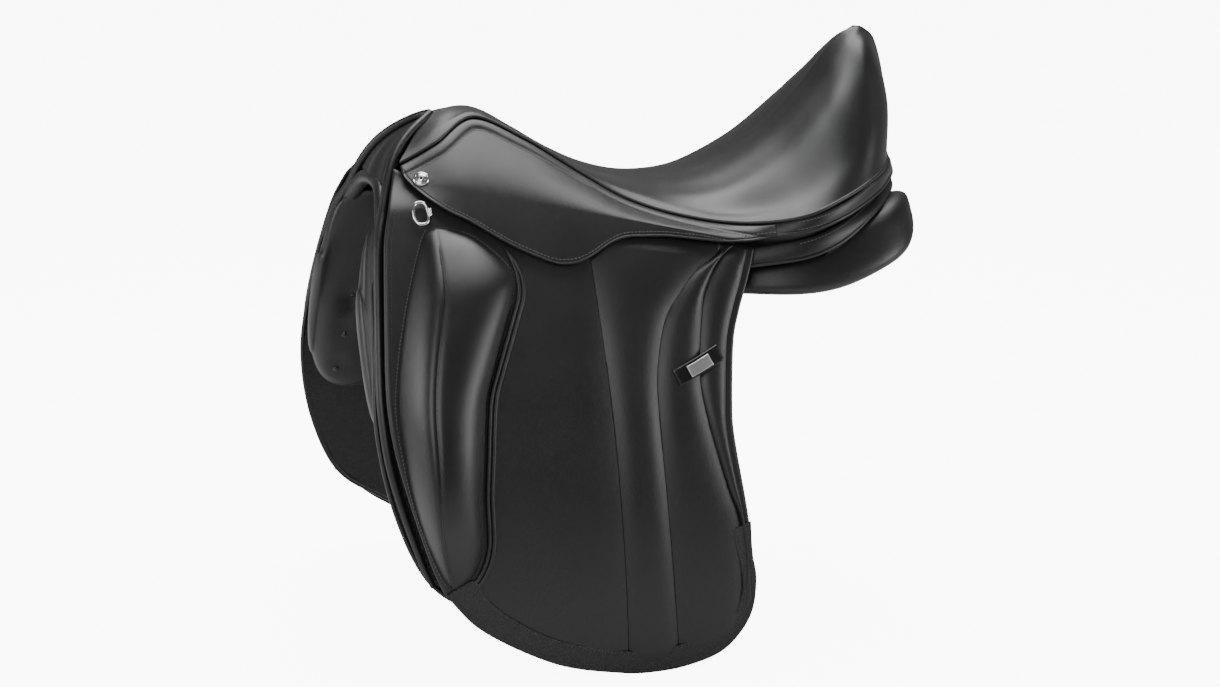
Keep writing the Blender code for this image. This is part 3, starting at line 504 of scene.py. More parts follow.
def surfaced(name, colour, roughness, metallic, scale, depth, stretch=(1, 1, 1), variation=0.12):
    """Metal, thread, wood or web: noise of one scale drives its colour, roughness and relief."""
    mat = bpy.data.materials.new(name)
    mat.use_nodes = True
    tree = mat.node_tree
    shader = tree.nodes["Principled BSDF"]
    place = node(tree, "ShaderNodeTexCoord").outputs["Object"]
    pull = node(tree, "ShaderNodeMapping")
    pull.inputs["Scale"].default_value = stretch
    tree.links.new(place, pull.inputs["Vector"])
    noise = node(tree, "ShaderNodeTexNoise", scale=scale, detail=5.0)
    tree.links.new(pull.outputs["Vector"], noise.inputs["Vector"])
    tint = node(tree, "ShaderNodeMix", data_type="RGBA")
    tint.inputs["A"].default_value = (*(c * (1 - variation) for c in colour), 1)
    tint.inputs["B"].default_value = (*(min(1.0, c * (1 + variation)) for c in colour), 1)
    tree.links.new(noise.outputs["Fac"], tint.inputs["Factor"])
    tree.links.new(tint.outputs[2], shader.inputs["Base Color"])
    rough = node(tree, "ShaderNodeMapRange")
    rough.inputs["To Min"].default_value = roughness * 0.8
    rough.inputs["To Max"].default_value = min(1.0, roughness * 1.25)
    tree.links.new(noise.outputs["Fac"], rough.inputs["Value"])
    tree.links.new(rough.outputs["Result"], shader.inputs["Roughness"])
    bump = node(tree, "ShaderNodeBump", strength=0.4, distance=depth)
    tree.links.new(noise.outputs["Fac"], bump.inputs["Height"])
    tree.links.new(bump.outputs["Normal"], shader.inputs["Normal"])
    shader.inputs["Metallic"].default_value = metallic
    return mat


MATS = {
    "seat_leather": leather("seat_leather", (0.0060, 0.0060, 0.0066), 0.36, 0.0009, 0.00004),
    "leather": leather("smooth_leather", (0.0048, 0.0048, 0.0053), 0.39, 0.0010, 0.00005),
    "block_leather": leather("block_leather", (0.0055, 0.0055, 0.0060), 0.34, 0.0009, 0.00004),
    "panel_leather": leather("panel_leather", (0.0050, 0.0050, 0.0055), 0.36, 0.0010, 0.00005),
    "grained_leather": leather("grained_leather", (0.0040, 0.0040, 0.0043), 0.50, 0.0022, 0.00030),
    "strap_leather": leather("strap_leather", (0.0035, 0.0035, 0.0038), 0.26, 0.0008, 0.00002),
    "thread": surfaced("black_thread", (0.020, 0.020, 0.022), 0.60, 0.0, 3000.0, 0.0001),
    "grey_thread": surfaced("grey_thread", (0.085, 0.085, 0.088), 0.60, 0.0, 3000.0, 0.0001),
    "chrome": surfaced("polished_chrome", (0.80, 0.80, 0.82), 0.10, 1.0, 400.0, 0.00001),
    "plate": surfaced("satin_plate", (0.62, 0.62, 0.62), 0.32, 1.0, 900.0, 0.00003, (1, 1, 12)),
    "steel": surfaced("forged_steel", (0.42, 0.42, 0.43), 0.38, 1.0, 500.0, 0.00008),
    "timber": surfaced("laminated_beech", (0.42, 0.27, 0.14), 0.60, 0.0, 60.0, 0.0003, (1, 1, 14), 0.3),
    "web": surfaced("jute_web", (0.45, 0.38, 0.27), 0.85, 0.0, 700.0, 0.0004, (1, 3, 3), 0.3),
    "foam": surfaced("seat_foam", (0.70, 0.66, 0.52), 0.90, 0.0, 900.0, 0.0003),
}


# ---- flap, with its sewn channels ----
FLAP_MID, FLAP_HALF = 0.00075, 0.00225        # middle of the flap's thickness, and half of it
CHANNEL = (0.0030, 0.0046, 0.0042, 0.0034, 0.0)        # how far each padded channel swells
GROOVE_DEPTH = 0.0016


def flap_relief(rows, spans, mark, columns):
    """Outward swelling over the padded channels, drawn down to the sewn grooves between them."""
    relief = np.zeros((rows, columns))
    fall = ease(rows - 1)
    fade = np.clip(fall / 0.05, 0, 1) * np.clip((1 - fall) / 0.05, 0, 1)
    for k, (start, count, height) in enumerate(zip(mark, spans, CHANNEL)):
        for c, s in enumerate(ease(count)):
            full = 1 - abs(2 * s - 1) ** 2.6
            if k == 0:                         # the front panel swells only near its groove
                full = np.clip((s - 0.45) / 0.45, 0, 1) ** 1.5 * (1 - s ** 12)
            relief[:, min(start + c, columns - 1)] = height * full * fade
    for column in mark[1:len(spans)]:
        relief[:, column] = -GROOVE_DEPTH * fade
    return relief


def flap(name, side):
    spans, rows = (44, 26, 24, 20, 8), 150
    binding = [(x - BINDING, z) for x, z in FLAP_BACK[:-1]] + [(0.052, 0.052)]
    guides = (FLAP_FRONT, GROOVE_A, GROOVE_B, GROOVE_C, binding, FLAP_BACK)
    grid, mark = patch(guides, FLAP_TOP, FLAP_BOTTOM, spans, rows)
    edge = rounded(edge_distance(grid), FLAP_HALF)
    relief = flap_relief(rows + 1, spans, mark, grid.shape[1])
    outer = tucked(drape(grid, FLAP_MID + FLAP_HALF * edge + relief * edge, side))
    inner = tucked(drape(grid, FLAP_MID - FLAP_HALF * edge, side))
    body = f"flap_{name}"
    obj = shell(f"flap_shell_{name}", outer, inner, MATS["leather"], body)
    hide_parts(body)
    tree = surface_tree(obj)
    front = smooth_line(FLAP_FRONT)[8:]
    back = smooth_line(FLAP_BACK)
    for tag, line, inset in (("front_edge", front, 0.0055), ("back_edge", back, -0.0030)):
        path = tucked(drape(line + np.array([inset, 0]), 0.006, side))
        stitches(f"flap_{tag}_stitching_{name}", path, tree, MATS["thread"], body)
    border(name, side, body)
    thigh_block(name, side, body, tree)
    keeper(name, side, body, tree)
    dee(name, side)
    return obj


# ---- border along the bottom of the flap ----
BORDER_BASE, BORDER_HALF = 0.0045, 0.0011


def border(name, side, body):
    inner_line = smooth_line(BORDER_INNER)
    outer_line = smooth_line(FLAP_BOTTOM + [(0.054, 0.100), (0.0535, 0.127)])
    shares = np.linspace(0, 1, 220)
    near, far = resample(inner_line, shares), resample(outer_line, shares)
    grid = np.stack([near * (1 - t) + far * t for t in ease(18)])
    edge = rounded(edge_distance(grid), 0.0016)
    outer = drape(grid, BORDER_BASE + BORDER_HALF * edge, side)
    inner = drape(grid, BORDER_BASE - BORDER_HALF * edge * 0.6, side)
    obj = shell(f"border_strip_{name}", outer, inner, MATS["grained_leather"], body)
    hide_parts(f"flap_border_{name}")
    tree = surface_tree(obj)
    for tag, share in (("inner", 0.12), ("outer", 0.86), ("middle", 0.72)):
        path = drape(near * (1 - share) + far * share, 0.007, side)
        stitches(f"border_{tag}_stitching_{name}", path, tree, MATS["thread"], body)


# ---- thigh block ----
STRIP_START = (-0.136, 0.358)            # where the two rolls behind the block begin
STRIP_BEHIND = 0.0072
BLOCK_FLOOR = 0.0028
SEAM_DEPTH, SEAM_WIDTH = 0.0011, 0.035


def block_profile(count):
    """Share across the block and share of its height, from front foot over the ridge to rear foot."""
    rise = [(t, 1 - (1 - t) ** 2.1) for t in ease(count // 3)]
    fall = [(t, (1 - t ** 2.6) ** (1 / 1.9)) for t in ease(count)]
    return rise, fall[1:]


def thigh_block(name, side, body, flap_tree):
    front, rear = smooth_line(BLOCK_FRONT), smooth_line(BLOCK_REAR)
    stations = np.linspace(0, 1, 110)
    along = np.linspace(0, 1, len(BLOCK_HEIGHT))
    heights = smooth_line(np.stack([along, BLOCK_HEIGHT], 1))
    ridges = smooth_line(np.stack([along, RIDGE_SHARE], 1))
    rise, fall = block_profile(42)
    feet, backs = resample(front, stations), resample(rear, stations)
    tall = np.interp(stations, heights[:, 0], heights[:, 1])
    ridge_row = feet + (backs - feet) * np.interp(stations, ridges[:, 0], ridges[:, 1])[:, None]
    for _ in range(60):
        ridge_row[1:-1] = (ridge_row[:-2] + 2 * ridge_row[1:-1] + ridge_row[2:]) / 4
    outer, ridge_line = [], []
    for foot, back, ridge, height in zip(feet, backs, ridge_row, tall):
        row = [(foot + (ridge - foot) * t, h) for t, h in rise]
        row += [(ridge + (back - ridge) * t, h) for t, h in fall]
        places = np.array([p for p, _ in row])
        lifts = height * np.array([h for _, h in row])
        gap = np.linalg.norm(places - ridge, axis=1) / max(np.linalg.norm(back - foot), 1e-6)
        lifts = lifts - SEAM_DEPTH * np.exp(-(gap / SEAM_WIDTH) ** 2) * min(1, height / 0.02)
        outer.append(drape(places, BLOCK_FLOOR + lifts, side))
        ridge_line.append(drape(ridge[None], BLOCK_FLOOR + height, side)[0])
    outer = np.array(outer)
    feet = np.stack([np.linspace(row[0], row[-1], row.shape[0]) for row in outer])
    lows = feet[..., [0, 2]]
    inner = drape(lows, BLOCK_FLOOR - 0.0004, side)
    obj = shell(f"block_cover_{name}", outer, inner, MATS["block_leather"], body)
    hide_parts(f"thigh_block_{name}")
    tree = surface_tree(obj)
    seam = laid_on(tree, np.array(ridge_line)[6:-6])[0]
    sweep(f"block_ridge_welt_{name}", seam, 0.0007, MATS["strap_leather"], body, 8)
    centre = (front.mean(0) + rear.mean(0)) / 2
    for tag, line in (("front", front[6:-4]), ("top", rear[4:30])):
        inward = line + (centre - line) / np.linalg.norm(centre - line, axis=1)[:, None] * -0.0022
        path = drape(inward, 0.006, side)
        stitches(f"block_{tag}_stitching_{name}", path, flap_tree, MATS["grey_thread"], body)
    block_strip(name, side, body, flap_tree, rear)


def block_strip(name, side, body, flap_tree, rear):
    """Two rolls and the stitching between them, in a line just behind the block."""
    line = rear[26:]
    run = np.gradient(line, axis=0)
    run = run / np.linalg.norm(run, axis=1)[:, None]
    away = np.stack([-run[:, 1], run[:, 0]], 1)
    if away[len(away) // 2, 0] < 0:
        away = -away
    low = line + away * STRIP_BEHIND
    bend = low[0] - run[0] * np.linalg.norm(low[0] - STRIP_START) * 0.5
    turn = np.linspace(0, 1, 18)[:-1, None]
    curve = (1 - turn) ** 2 * np.array(STRIP_START) + 2 * turn * (1 - turn) * bend + turn ** 2 * low[0]
    middle = np.concatenate([curve, low])
    run = np.gradient(middle, axis=0)
    run = run / np.linalg.norm(run, axis=1)[:, None]
    away = np.stack([-run[:, 1], run[:, 0]], 1) * np.sign(-run[len(run) // 2, 1])
    open_out = np.clip(np.linspace(0, 9, len(middle)), 0.15, 1)[:, None]
    for tag, gap in (("inner", -0.0021), ("outer", 0.0021)):
        places, normals = laid_on(flap_tree, drape(middle + away * gap * open_out, 0.006, side))
        sweep(f"block_strip_{tag}_{name}", places + normals * 0.0006, 0.0020, MATS["leather"], body)
    stitches(f"block_strip_stitching_{name}", drape(middle, 0.006, side), flap_tree, MATS["grey_thread"],
             body, thread=0.00045)


# ---- keeper, D ring and stud ----
KEEPER_WIDTH, KEEPER_RISE, KEEPER_FOOT = 0.0138, 0.0018, 0.0055


def bridge(name, side, start, end, width, low, thick, mat, body, tree):
    """A level strap or plate that stands on the highest part of the flap under it."""
    (x0, z0), (x1, z1) = KEEPER_ENDS
    run = np.array([x1 - x0, z1 - z0])
    run = run / np.linalg.norm(run)
    across = np.array([-run[1], run[0]])
    grid = []
    for t in ease(26):
        share = start + (end - start) * t
        middle = np.array([x0, z0]) + (np.array([x1, z1]) - [x0, z0]) * share
        grid.append([middle + across * width * (u - 0.5) for u in ease(14)])
    grid = np.array(grid)
    middle = grid[:, grid.shape[1] // 2]
    stands = np.abs(laid_on(tree, drape(middle, 0.008, side))[0][:, 1]) - side_y(middle[:, 0], middle[:, 1])
    base = max(KEEPER_FOOT, float(stands.max()) - 0.0008)
    share = (start + (end - start) * ease(26))
    arch = base + low + KEEPER_RISE * np.sin(np.pi * np.clip(share, 0, 1)) ** 0.7
    edge = rounded(edge_distance(grid), thick * 0.5)
    outer = drape(grid, arch[:, None] + thick * 0.5 * (1 + edge), side)
    inner = drape(grid, arch[:, None] + thick * 0.5 * (1 - edge), side)
    return shell(name, outer, inner, mat, body)


def keeper(name, side, body, tree):
    strap = bridge(f"keeper_loop_{name}", side, 0.0, 1.0, KEEPER_WIDTH, 0.0, 0.0024,
                   MATS["strap_leather"], body, tree)
    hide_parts(f"keeper_strap_{name}")
    plate = bridge(f"keeper_badge_{name}", side, 0.27, 0.76, 0.0098, 0.0026, 0.0012,
                   MATS["plate"], body, tree)
    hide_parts(f"keeper_plate_{name}")


def side_frame(x, z, lift, side):
    place = drape(np.array([[x, z]]), lift, side)[0]
    along = drape(np.array([[x + 0.002, z]]), lift, side)[0] - place
    rise = drape(np.array([[x, z + 0.002]]), lift, side)[0] - place
    along, rise = along / np.linalg.norm(along), rise / np.linalg.norm(rise)
    out = np.cross(along, rise)
    out = out * np.sign(out[1] * side) / np.linalg.norm(out)
    return place, along, np.cross(out, along), out


DEE_X, DEE_Z, DEE_HALF, DEE_WIDE, DEE_WIRE = -0.1990, 0.3888, 0.0104, 0.0062, 0.0014


def dee(name, side):
    place, along, rise, out = side_frame(DEE_X, DEE_Z, 0.0072, side)
    turns = 2 * pi * np.arange(72) / 72
    bow = [place + along * DEE_WIDE * (np.sign(cos(t)) * abs(cos(t)) ** 0.72 - 1.0)
           + rise * DEE_HALF * np.sign(sin(t)) * abs(sin(t)) ** 0.86 for t in turns]
    ring = sweep(f"dee_wire_{name}", bow, DEE_WIRE, MATS["chrome"], f"dee_ring_{name}",
                 14, closed=True)
    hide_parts(f"dee_ring_{name}")
    knuckle = [place + along * 0.0012 + out * 0.0002 + rise * t for t in np.linspace(-0.0042, 0.0042, 13)]
    body = f"flap_{name}"
    beads = 0.0020 + 0.0005 * np.abs(np.cos(np.linspace(0, 3 * pi, 13)))
    staple = sweep(f"dee_knuckle_{name}", knuckle, beads, MATS["chrome"], body, 14)
    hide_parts(f"dee_staple_{name}")


def turned(name, profile, place, axis, mat, body, around=40):
    """A shape of revolution from (radius, height) points."""
    axis = np.asarray(axis, float) / np.linalg.norm(axis)
    first = np.cross(axis, [1.0, 0, 0])
    first = first / np.linalg.norm(first)
    second = np.cross(axis, first)
    rings = []
    for radius, height in profile:
        angles = 2 * pi * np.arange(around) / around
        rings.append(place + axis * height
                     + radius * (np.cos(angles)[:, None] * first + np.sin(angles)[:, None] * second))
    faces = grid_quads(len(profile), around, wrap=True)
    return make(name, np.concatenate(rings), faces, mat, body, closed=True)


def stud(name, side, tree):
    y, _ = hinge_at(STUD_X)
    near = tucked(np.array([[STUD_X, side * (y + 0.004), STUD_Z]]))
    places, normals = laid_on(tree, near)
    out = normals[0] + np.array([-0.20, side * 0.84, 0.50])
    out = out / np.linalg.norm(out)
    place = places[0] + out * 0.0014
    r = STUD_RADIUS
    rings = [(0, -0.0012), (r * 0.94, -0.0012), (r, -0.0004), (r * 0.96, 0.0006), (r * 0.80, 0.0011),
             (r * 0.72, 0.0006), (r * 0.60, 0.0007), (r * 0.52, 0.0015), (r * 0.34, 0.0019),
             (r * 0.24, 0.0017), (r * 0.20, 0.0009), (0, 0.0008)]
    nail = turned(f"nail_head_{name}", rings, place, out, MATS["chrome"], "root")
    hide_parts(f"pommel_stud_{name}")
    dark = [(0, 0.0008), (r * 0.17, 0.00085), (r * 0.14, 0.0014), (0, 0.0015)]
    turned(f"nail_centre_{name}", dark, place, out, MATS["strap_leather"], "root", 20)


# ---- seat ----
def seat_surface(steps=10):
    guides = [smooth_line([row[c] for row in SEAT_SECTIONS], steps) for c in range(5)]
    half = np.array([smooth_line([g[i] for g in guides], steps) for i in range(len(guides[0]))])
    half[..., 1] = np.maximum(half[..., 1], 0.0)
    half[:, 0, 1] = 0.0
    half[-1, :, 1] = 0.0
    far = half[:, :0:-1] * np.array([1, -1, 1])
    return np.concatenate([far, half], axis=1)


def grid_normals(grid):
    along, across = np.gradient(grid, axis=0), np.gradient(grid, axis=1)
    normal = np.cross(along, across)
    size = np.linalg.norm(normal, axis=-1, keepdims=True)
    return normal / np.maximum(size, 1e-9)


COVER, SEAT_STEPS = 0.0028, 10
RIM_RISE, RIM_DIP = 0.0042, 0.0026       # the seat's soft edge and the hollow outside it


def gusset(welt):
    """The plain band set back under the seat's edge, down behind the skirt and the cantle bands."""
    line = resample(welt[welt[:, 0] > -0.207], np.linspace(0, 1, 260))
    centre = np.array([0.06, 0.0])
    rows = []
    for t in ease(12):
        away = np.where(line[:, :1] > 0.06, line[:, :2] - centre, line[:, :2] * [0, 1])
        away = away / np.linalg.norm(away, axis=1)[:, None]
        rear = smooth_step((line[:, 0] - 0.19) / 0.04)
        inset = 0.0028 - 0.0016 * rear * (1 - t) + 0.0040 * t
        drop = 0.0010 - 0.0020 * rear * (1 - t) + 0.0270 * t
        rows.append(np.column_stack([line[:, :2] - away * inset[:, None], line[:, 2] - drop]))
    middle = np.array(rows)
    normal = grid_normals(middle)
    shell("seat_gusset", middle, middle - normal * 0.0016, MATS["leather"], "root")


def seat():
    outer = seat_surface()
    normal = grid_normals(outer)
    middle = outer.shape[1] // 2
    if normal[30, middle, 2] < 0:
        normal = -normal
    normal[-1, :, 1] = 0.0
    normal[:, middle, 1] = 0.0
    normal = normal / np.maximum(np.linalg.norm(normal, axis=-1, keepdims=True), 1e-9)
    count = np.arange(outer.shape[1])
    from_middle = np.abs(count - middle) / SEAT_STEPS
    rim = RIM_RISE * np.exp(-((from_middle - 2.05) / 0.55) ** 2)
    rim = rim - RIM_DIP * np.exp(-((from_middle - 3.1) / 0.5) ** 2)
    along = np.clip((outer[..., 0] - 0.0) / 0.11, 0, 1) * np.clip((0.2150 - outer[..., 0]) / 0.03, 0, 1)
    outer = outer + normal * (rim[None] * along * along * (3 - 2 * along))[..., None]
    outer = tucked(outer)
    inner = outer - normal * COVER
    obj = shell("seat_leather_cover", outer, inner, MATS["seat_leather"], "root", "tlr")
    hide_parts("seat_cover")
    near, far = outer[:, 0], outer[::-1, -1]
    welt = np.concatenate([near, far[1:]])
    down = welt + np.array([0, 0, -0.0014])
    sweep("seat_welt", down, 0.0017, MATS["leather"], "root", 12)
    gusset(welt)
    return (outer + inner) / 2


# ---- skirt: one surface, cut along the bending line into an upper and a lower piece ----
SKIRT_THICK = 0.0038
SPLIT_DROP = 0.0020          # how far below the bending line the two pieces meet
BAND_WIDTH, BAND_RISE = 0.0108, 0.0014


def skirt_column(x, seat_edge, hem):
    """Half-width of the skirt at height z for one x, with the heights of its top and hem."""
    top = np.array([np.interp(x, seat_edge[:, 0], seat_edge[:, k]) for k in range(3)])
    low = np.interp(x, hem[:, 0], hem[:, 1])
    y_hinge, z_hinge = hinge_at(x)
    step = 0.0005
    slope = (skirt_y(x, z_hinge) - skirt_y(x, z_hinge - step)) / step
    high_y, high_z = top[1] + 0.0016, top[2] - 0.0036
    rise = high_z - z_hinge
    end_slope = (high_y - y_hinge) / rise * 1.15

    def half_width(z):
        t = np.clip((z - z_hinge) / rise, 0, 1.2)
        h00, h10 = 2 * t ** 3 - 3 * t ** 2 + 1, t ** 3 - 2 * t ** 2 + t
        h01, h11 = -2 * t ** 3 + 3 * t ** 2, t ** 3 - t ** 2
        above = h00 * y_hinge + h10 * rise * slope + h01 * high_y + h11 * rise * end_slope
        return np.where(z > z_hinge, above, skirt_y(x, z))
    return half_width, high_z, low, z_hinge - SPLIT_DROP


def away_from(line, points):
    """Distance of every point from a polyline in space."""
    flat = points.reshape(-1, 3)
    nearest = np.full(len(flat), 1e9)
    for a, b in zip(line, line[1:]):
        run = b - a
        t = np.clip((flat - a) @ run / max(run @ run, 1e-12), 0, 1)
        nearest = np.minimum(nearest, np.linalg.norm(flat - a - t[:, None] * run, axis=1))
    return nearest.reshape(points.shape[:2])


def skirt(name, side, seat_edge):
    hem = smooth_line(SKIRT_HEM)
    hem = hem[np.argsort(hem[:, 0])]
    xs = hem[0, 0] + (hem[-1, 0] - hem[0, 0]) * ease(150)
    columns = [skirt_column(x, seat_edge, hem) for x in xs]

    def grid_between(picks, count):
        rows = []
        for t in ease(count):
            row = []
            for i, high, low in picks:
                z = high + (low - high) * t
                row.append((xs[i], side * float(columns[i][0](z)), z))
            rows.append(row)
        return np.array(rows)
    upper_picks = [(i, c[1], max(c[2], c[3])) for i, c in enumerate(columns)]
    lobe = [i for i, c in enumerate(columns) if c[2] < c[3] + 0.00001]
    lower_picks = [(i, columns[i][3], columns[i][2]) for i in lobe]
    top_line = np.array([(x, side * float(c[0](c[1])), c[1]) for x, c in zip(xs, columns)])
    hem_line = np.array([(x, side * float(c[0](c[2])), c[2]) for x, c in zip(xs, columns)])
    outline = [top_line, hem_line, np.array([top_line[0], hem_line[0]])]
    hinge = np.array([HINGE_FRONT[0], side * HINGE_FRONT[1], HINGE_FRONT[2]])
    axis = np.array([HINGE_REAR[0] - HINGE_FRONT[0], side * (HINGE_REAR[1] - HINGE_FRONT[1]),
                     HINGE_REAR[2] - HINGE_FRONT[2]])
    axis = axis / np.linalg.norm(axis)
    down = np.array([0, side * 0.62, -0.78])
    down = down - axis * (down @ axis)
    down = down / np.linalg.norm(down)
    parts = (("skirt_top", upper_picks, 60, "root", f"flap_{name}", -0.007, 0.0015, f"skirt_yoke_{name}"),
             ("skirt_lobe", lower_picks, 40, f"flap_{name}", f"skirt_{name}", 0.0032, 0.020, f"skirt_{name}"))
    made = {}
    for title, picks, count, first, second, start, end, stood_for in parts:
        middle = grid_between(picks, count)
        normal = grid_normals(middle)
        if normal[count // 2, len(picks) // 2, 1] * side < 0:
            normal = -normal
        edge = rounded(np.min([away_from(line, middle) for line in outline], axis=0), SKIRT_THICK / 2)
        from_top, from_hem = away_from(top_line, middle), away_from(hem_line, middle)
        roll = np.sqrt(np.clip(1 - (2 * from_top / BAND_WIDTH - 1) ** 2, 0, 1)) * BAND_RISE
        groove = 0.0005 * np.exp(-((from_hem - 0.0022) / 0.0006) ** 2)
        outer = middle + normal * (roll - groove)[..., None] * edge[..., None]
        inner = middle - normal * (SKIRT_THICK * edge)[..., None]
        obj = shell(f"{title}_{name}", tucked(outer), tucked(inner), MATS["leather"], None)
        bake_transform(obj)
        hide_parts(stood_for)
        made[title] = (obj, first, second, hinge + CENTRE_SHIFT + down * start,
                       hinge + CENTRE_SHIFT + down * end)
    skirt_stitching(name, side, made, top_line, columns, xs, lobe)
    return surface_tree(made["skirt_top"][0])


def skirt_stitching(name, side, made, top_line, columns, xs, lobe):
    """A light row below the padded band, and a row along the hem; each follows its own piece."""
    band = []
    for x, column in zip(xs, columns):
        z = column[1]
        while z > column[2] + 0.004:
            z -= 0.0005
            point = np.array([x, side * float(column[0](z)), z])
            if away_from(top_line, point[None, None])[0, 0] > BAND_WIDTH + 0.0012:
                band.append(point)
                break
    towards = np.array([(x, side * float(c[0](c[2] + 0.0036)), c[2] + 0.0036) for x, c in zip(xs, columns)])
    outside = np.array([0, side * 0.0015, 0.0008])
    runs = (("band", "skirt_top", np.array(band), "grey_thread"),
            ("hem_rear", "skirt_top", towards[lobe[-1] + 1:-1], "grey_thread"),
            ("hem", "skirt_lobe", towards[lobe[0] + 3:lobe[-1] - 2], "grey_thread"))
    for tag, title, line, thread in runs:
        if len(line) < 3:
            continue
        obj, first, second, start, end = made[title]
        row = stitches(f"skirt_{tag}_stitching_{name}", tucked(line) + outside, surface_tree(obj),
                       MATS[thread], None)
        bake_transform(row)


# ---- cantle bands ----
def cantle_band(title, upper, lower, swell, node_name, mat):
    top, low = smooth_line(upper, 14), smooth_line(lower, 14)
    near = [np.concatenate([line, (line * [1, -1, 1])[-2::-1]]) for line in (top, low)]
    rows = []
    for t in ease(22):
        middle = near[0] * (1 - t) + near[1] * t
        out = middle - np.array([0.10, 0, 0])
        out[:, 2] = 0
        out = out / np.linalg.norm(out, axis=1)[:, None]
        rows.append(middle + out * swell * np.sin(np.pi * t) ** 0.6)
    middle = np.array(rows)
    normal = grid_normals(middle)
    if normal[11, len(middle[0]) // 2, 0] < 0:
        normal = -normal
    thick = 0.0030
    edge = rounded(np.min([away_from(line, middle) for line in near], axis=0), thick / 2)
    obj = shell(title, middle, middle - normal * (thick * edge)[..., None], mat, "root")
    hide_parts(node_name)
    tree = surface_tree(obj)
    for tag, share in (("upper", 0.24), ("lower", 0.78)):
        line = near[0] * (1 - share) + near[1] * share
        line = line[line[:, 0] > STITCHING_FROM]
        stitches(f"{title}_{tag}_stitching", line[2:-2], tree, MATS["grey_thread"], "root")
    sweep(f"{title}_piping", near[1] + np.array([0, 0, -0.0006]), 0.0018, mat, "root", 12)


def set_in(line, inset, drop):
    """A cantle line carried round both sides, moved in towards the seat and down."""
    near = smooth_line(line, 14)
    whole = np.concatenate([near * [1, -1, 1], near[-2::-1]])
    out = (whole - [0.10, 0, 0]) * [1, 1, 0]
    out = out / np.linalg.norm(out, axis=1)[:, None]
    return whole - out * inset - [0, 0, drop]


def cantle_lining(seat_middle):
    """The lining inside the cantle, from the seat's leather past the lower band into the panels."""
    edge = np.concatenate([seat_middle[:, 2], seat_middle[::-1, -3][1:]])
    lines = [edge, set_in(BAND_UPPER, 0.0065, 0.0), set_in(BAND_LOWER, 0.0022, 0.0008),
             set_in(BAND_LOWER, 0.0075, 0.0100)]
    lines = [resample(line[line[:, 0] > LINING_FROM], np.linspace(0, 1, 140)) for line in lines]
    middle = np.array([smooth_line(column, 6) for column in zip(*lines)]).transpose(1, 0, 2)
    normal = grid_normals(middle)
    if normal[9, 70, 0] < 0:
        normal = -normal
    shell("cantle_lining", middle, middle - normal * 0.0010, MATS["leather"], "root")


# the channel between the panels, from the arch to the cantle: x, half-width, foot, crown
GULLET = [(-0.222, 0.078, 0.345, 0.401), (-0.190, 0.060, 0.345, 0.395), (-0.140, 0.052, 0.340, 0.374),
          (-0.080, 0.052, 0.338, 0.358), (0.050, 0.066, 0.338, 0.356), (0.110, 0.054, 0.338, 0.358),
          (0.190, 0.050, 0.338, 0.360), (0.236, 0.052, 0.345, 0.374)]


def channel_lining():
    """The leather that closes the channel over the horse's spine, under the tree."""
    turns = np.linspace(0, pi, 49)
    rows = [np.stack([x + 0 * turns, wide * np.cos(turns), foot + (crown - foot) * np.sin(turns)], axis=1)
            for x, wide, foot, crown in smooth_line(GULLET, 10)]
    middle = np.array(rows)
    normal = grid_normals(middle)
    if normal[30, 24, 2] < 0:
        normal = -normal
    shell("channel_lining", middle, middle + normal * 0.0012, MATS["panel_leather"], "root")


# ---- sweat flap ----
def sweat_flap(name, side):
    grid, _ = patch((SWEAT_FRONT, SWEAT_BACK), SWEAT_TOP, SWEAT_BOTTOM, (90,), 110)
    edge = rounded(edge_distance(grid), 0.0017)
    outer = drape(grid, -0.02575 + 0.0017 * edge, side)
    inner = drape(grid, -0.02575 - 0.0017 * edge, side)
    obj = shell(f"sweat_leather_{name}", outer, inner, MATS["grained_leather"], "root")
    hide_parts(f"sweat_flap_{name}")
    rim = smooth_line(SWEAT_FRONT + SWEAT_BOTTOM[1:])
    sweep(f"sweat_binding_{name}", drape(rim[10:], -0.0257, side), 0.0023, MATS["leather"], "root")
    tree = surface_tree(obj)
    inset = rim[14:-6] + np.array([0.0045, 0.0035])
    stitches(f"sweat_stitching_{name}", drape(inset, -0.0290, side), tree, MATS["thread"], "root")


# ---- front rolls and the facing between them ----
def roll_line(count=8):
    """The front roll from its peak to its foot, on the positive side; it comes forward, then opens."""
    fall = np.linspace(0, 1, count) ** 1.5
    forward = ROLL_BEND_SHARE * (1 - (1 - fall) ** ROLL_BEND) + (1 - ROLL_BEND_SHARE) * fall
    shares = np.stack([forward, fall ** ROLL_SPREAD, fall], axis=1)
    return np.array(ROLL_PEAK) + (np.array(ROLL_FOOT) - ROLL_PEAK) * shares


def front_roll(name, side):
    roll = roll_line()
    line = smooth_line(FLAP_FRONT)[16::5]
    line[:, 0] -= ROLL_AHEAD * smooth_step((0.25 - line[:, 1]) / 0.09)
    edge = np.stack([line[:, 0], side_y(line[:, 0], line[:, 1]) - 0.019, line[:, 1]], 1)
    path = smooth_line(np.concatenate([roll, edge]) * [1, side, 1], 12)
    radius = np.interp(np.linspace(0, 1, len(path)), [0, 0.10, 0.35, 0.75, 1],
                       [0.0034, 0.0038, 0.0046, 0.0044, 0.0022])
    obj = sweep(f"front_roll_leather_{name}", path, radius, MATS["panel_leather"], "root",
                14)
    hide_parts(f"front_roll_{name}")


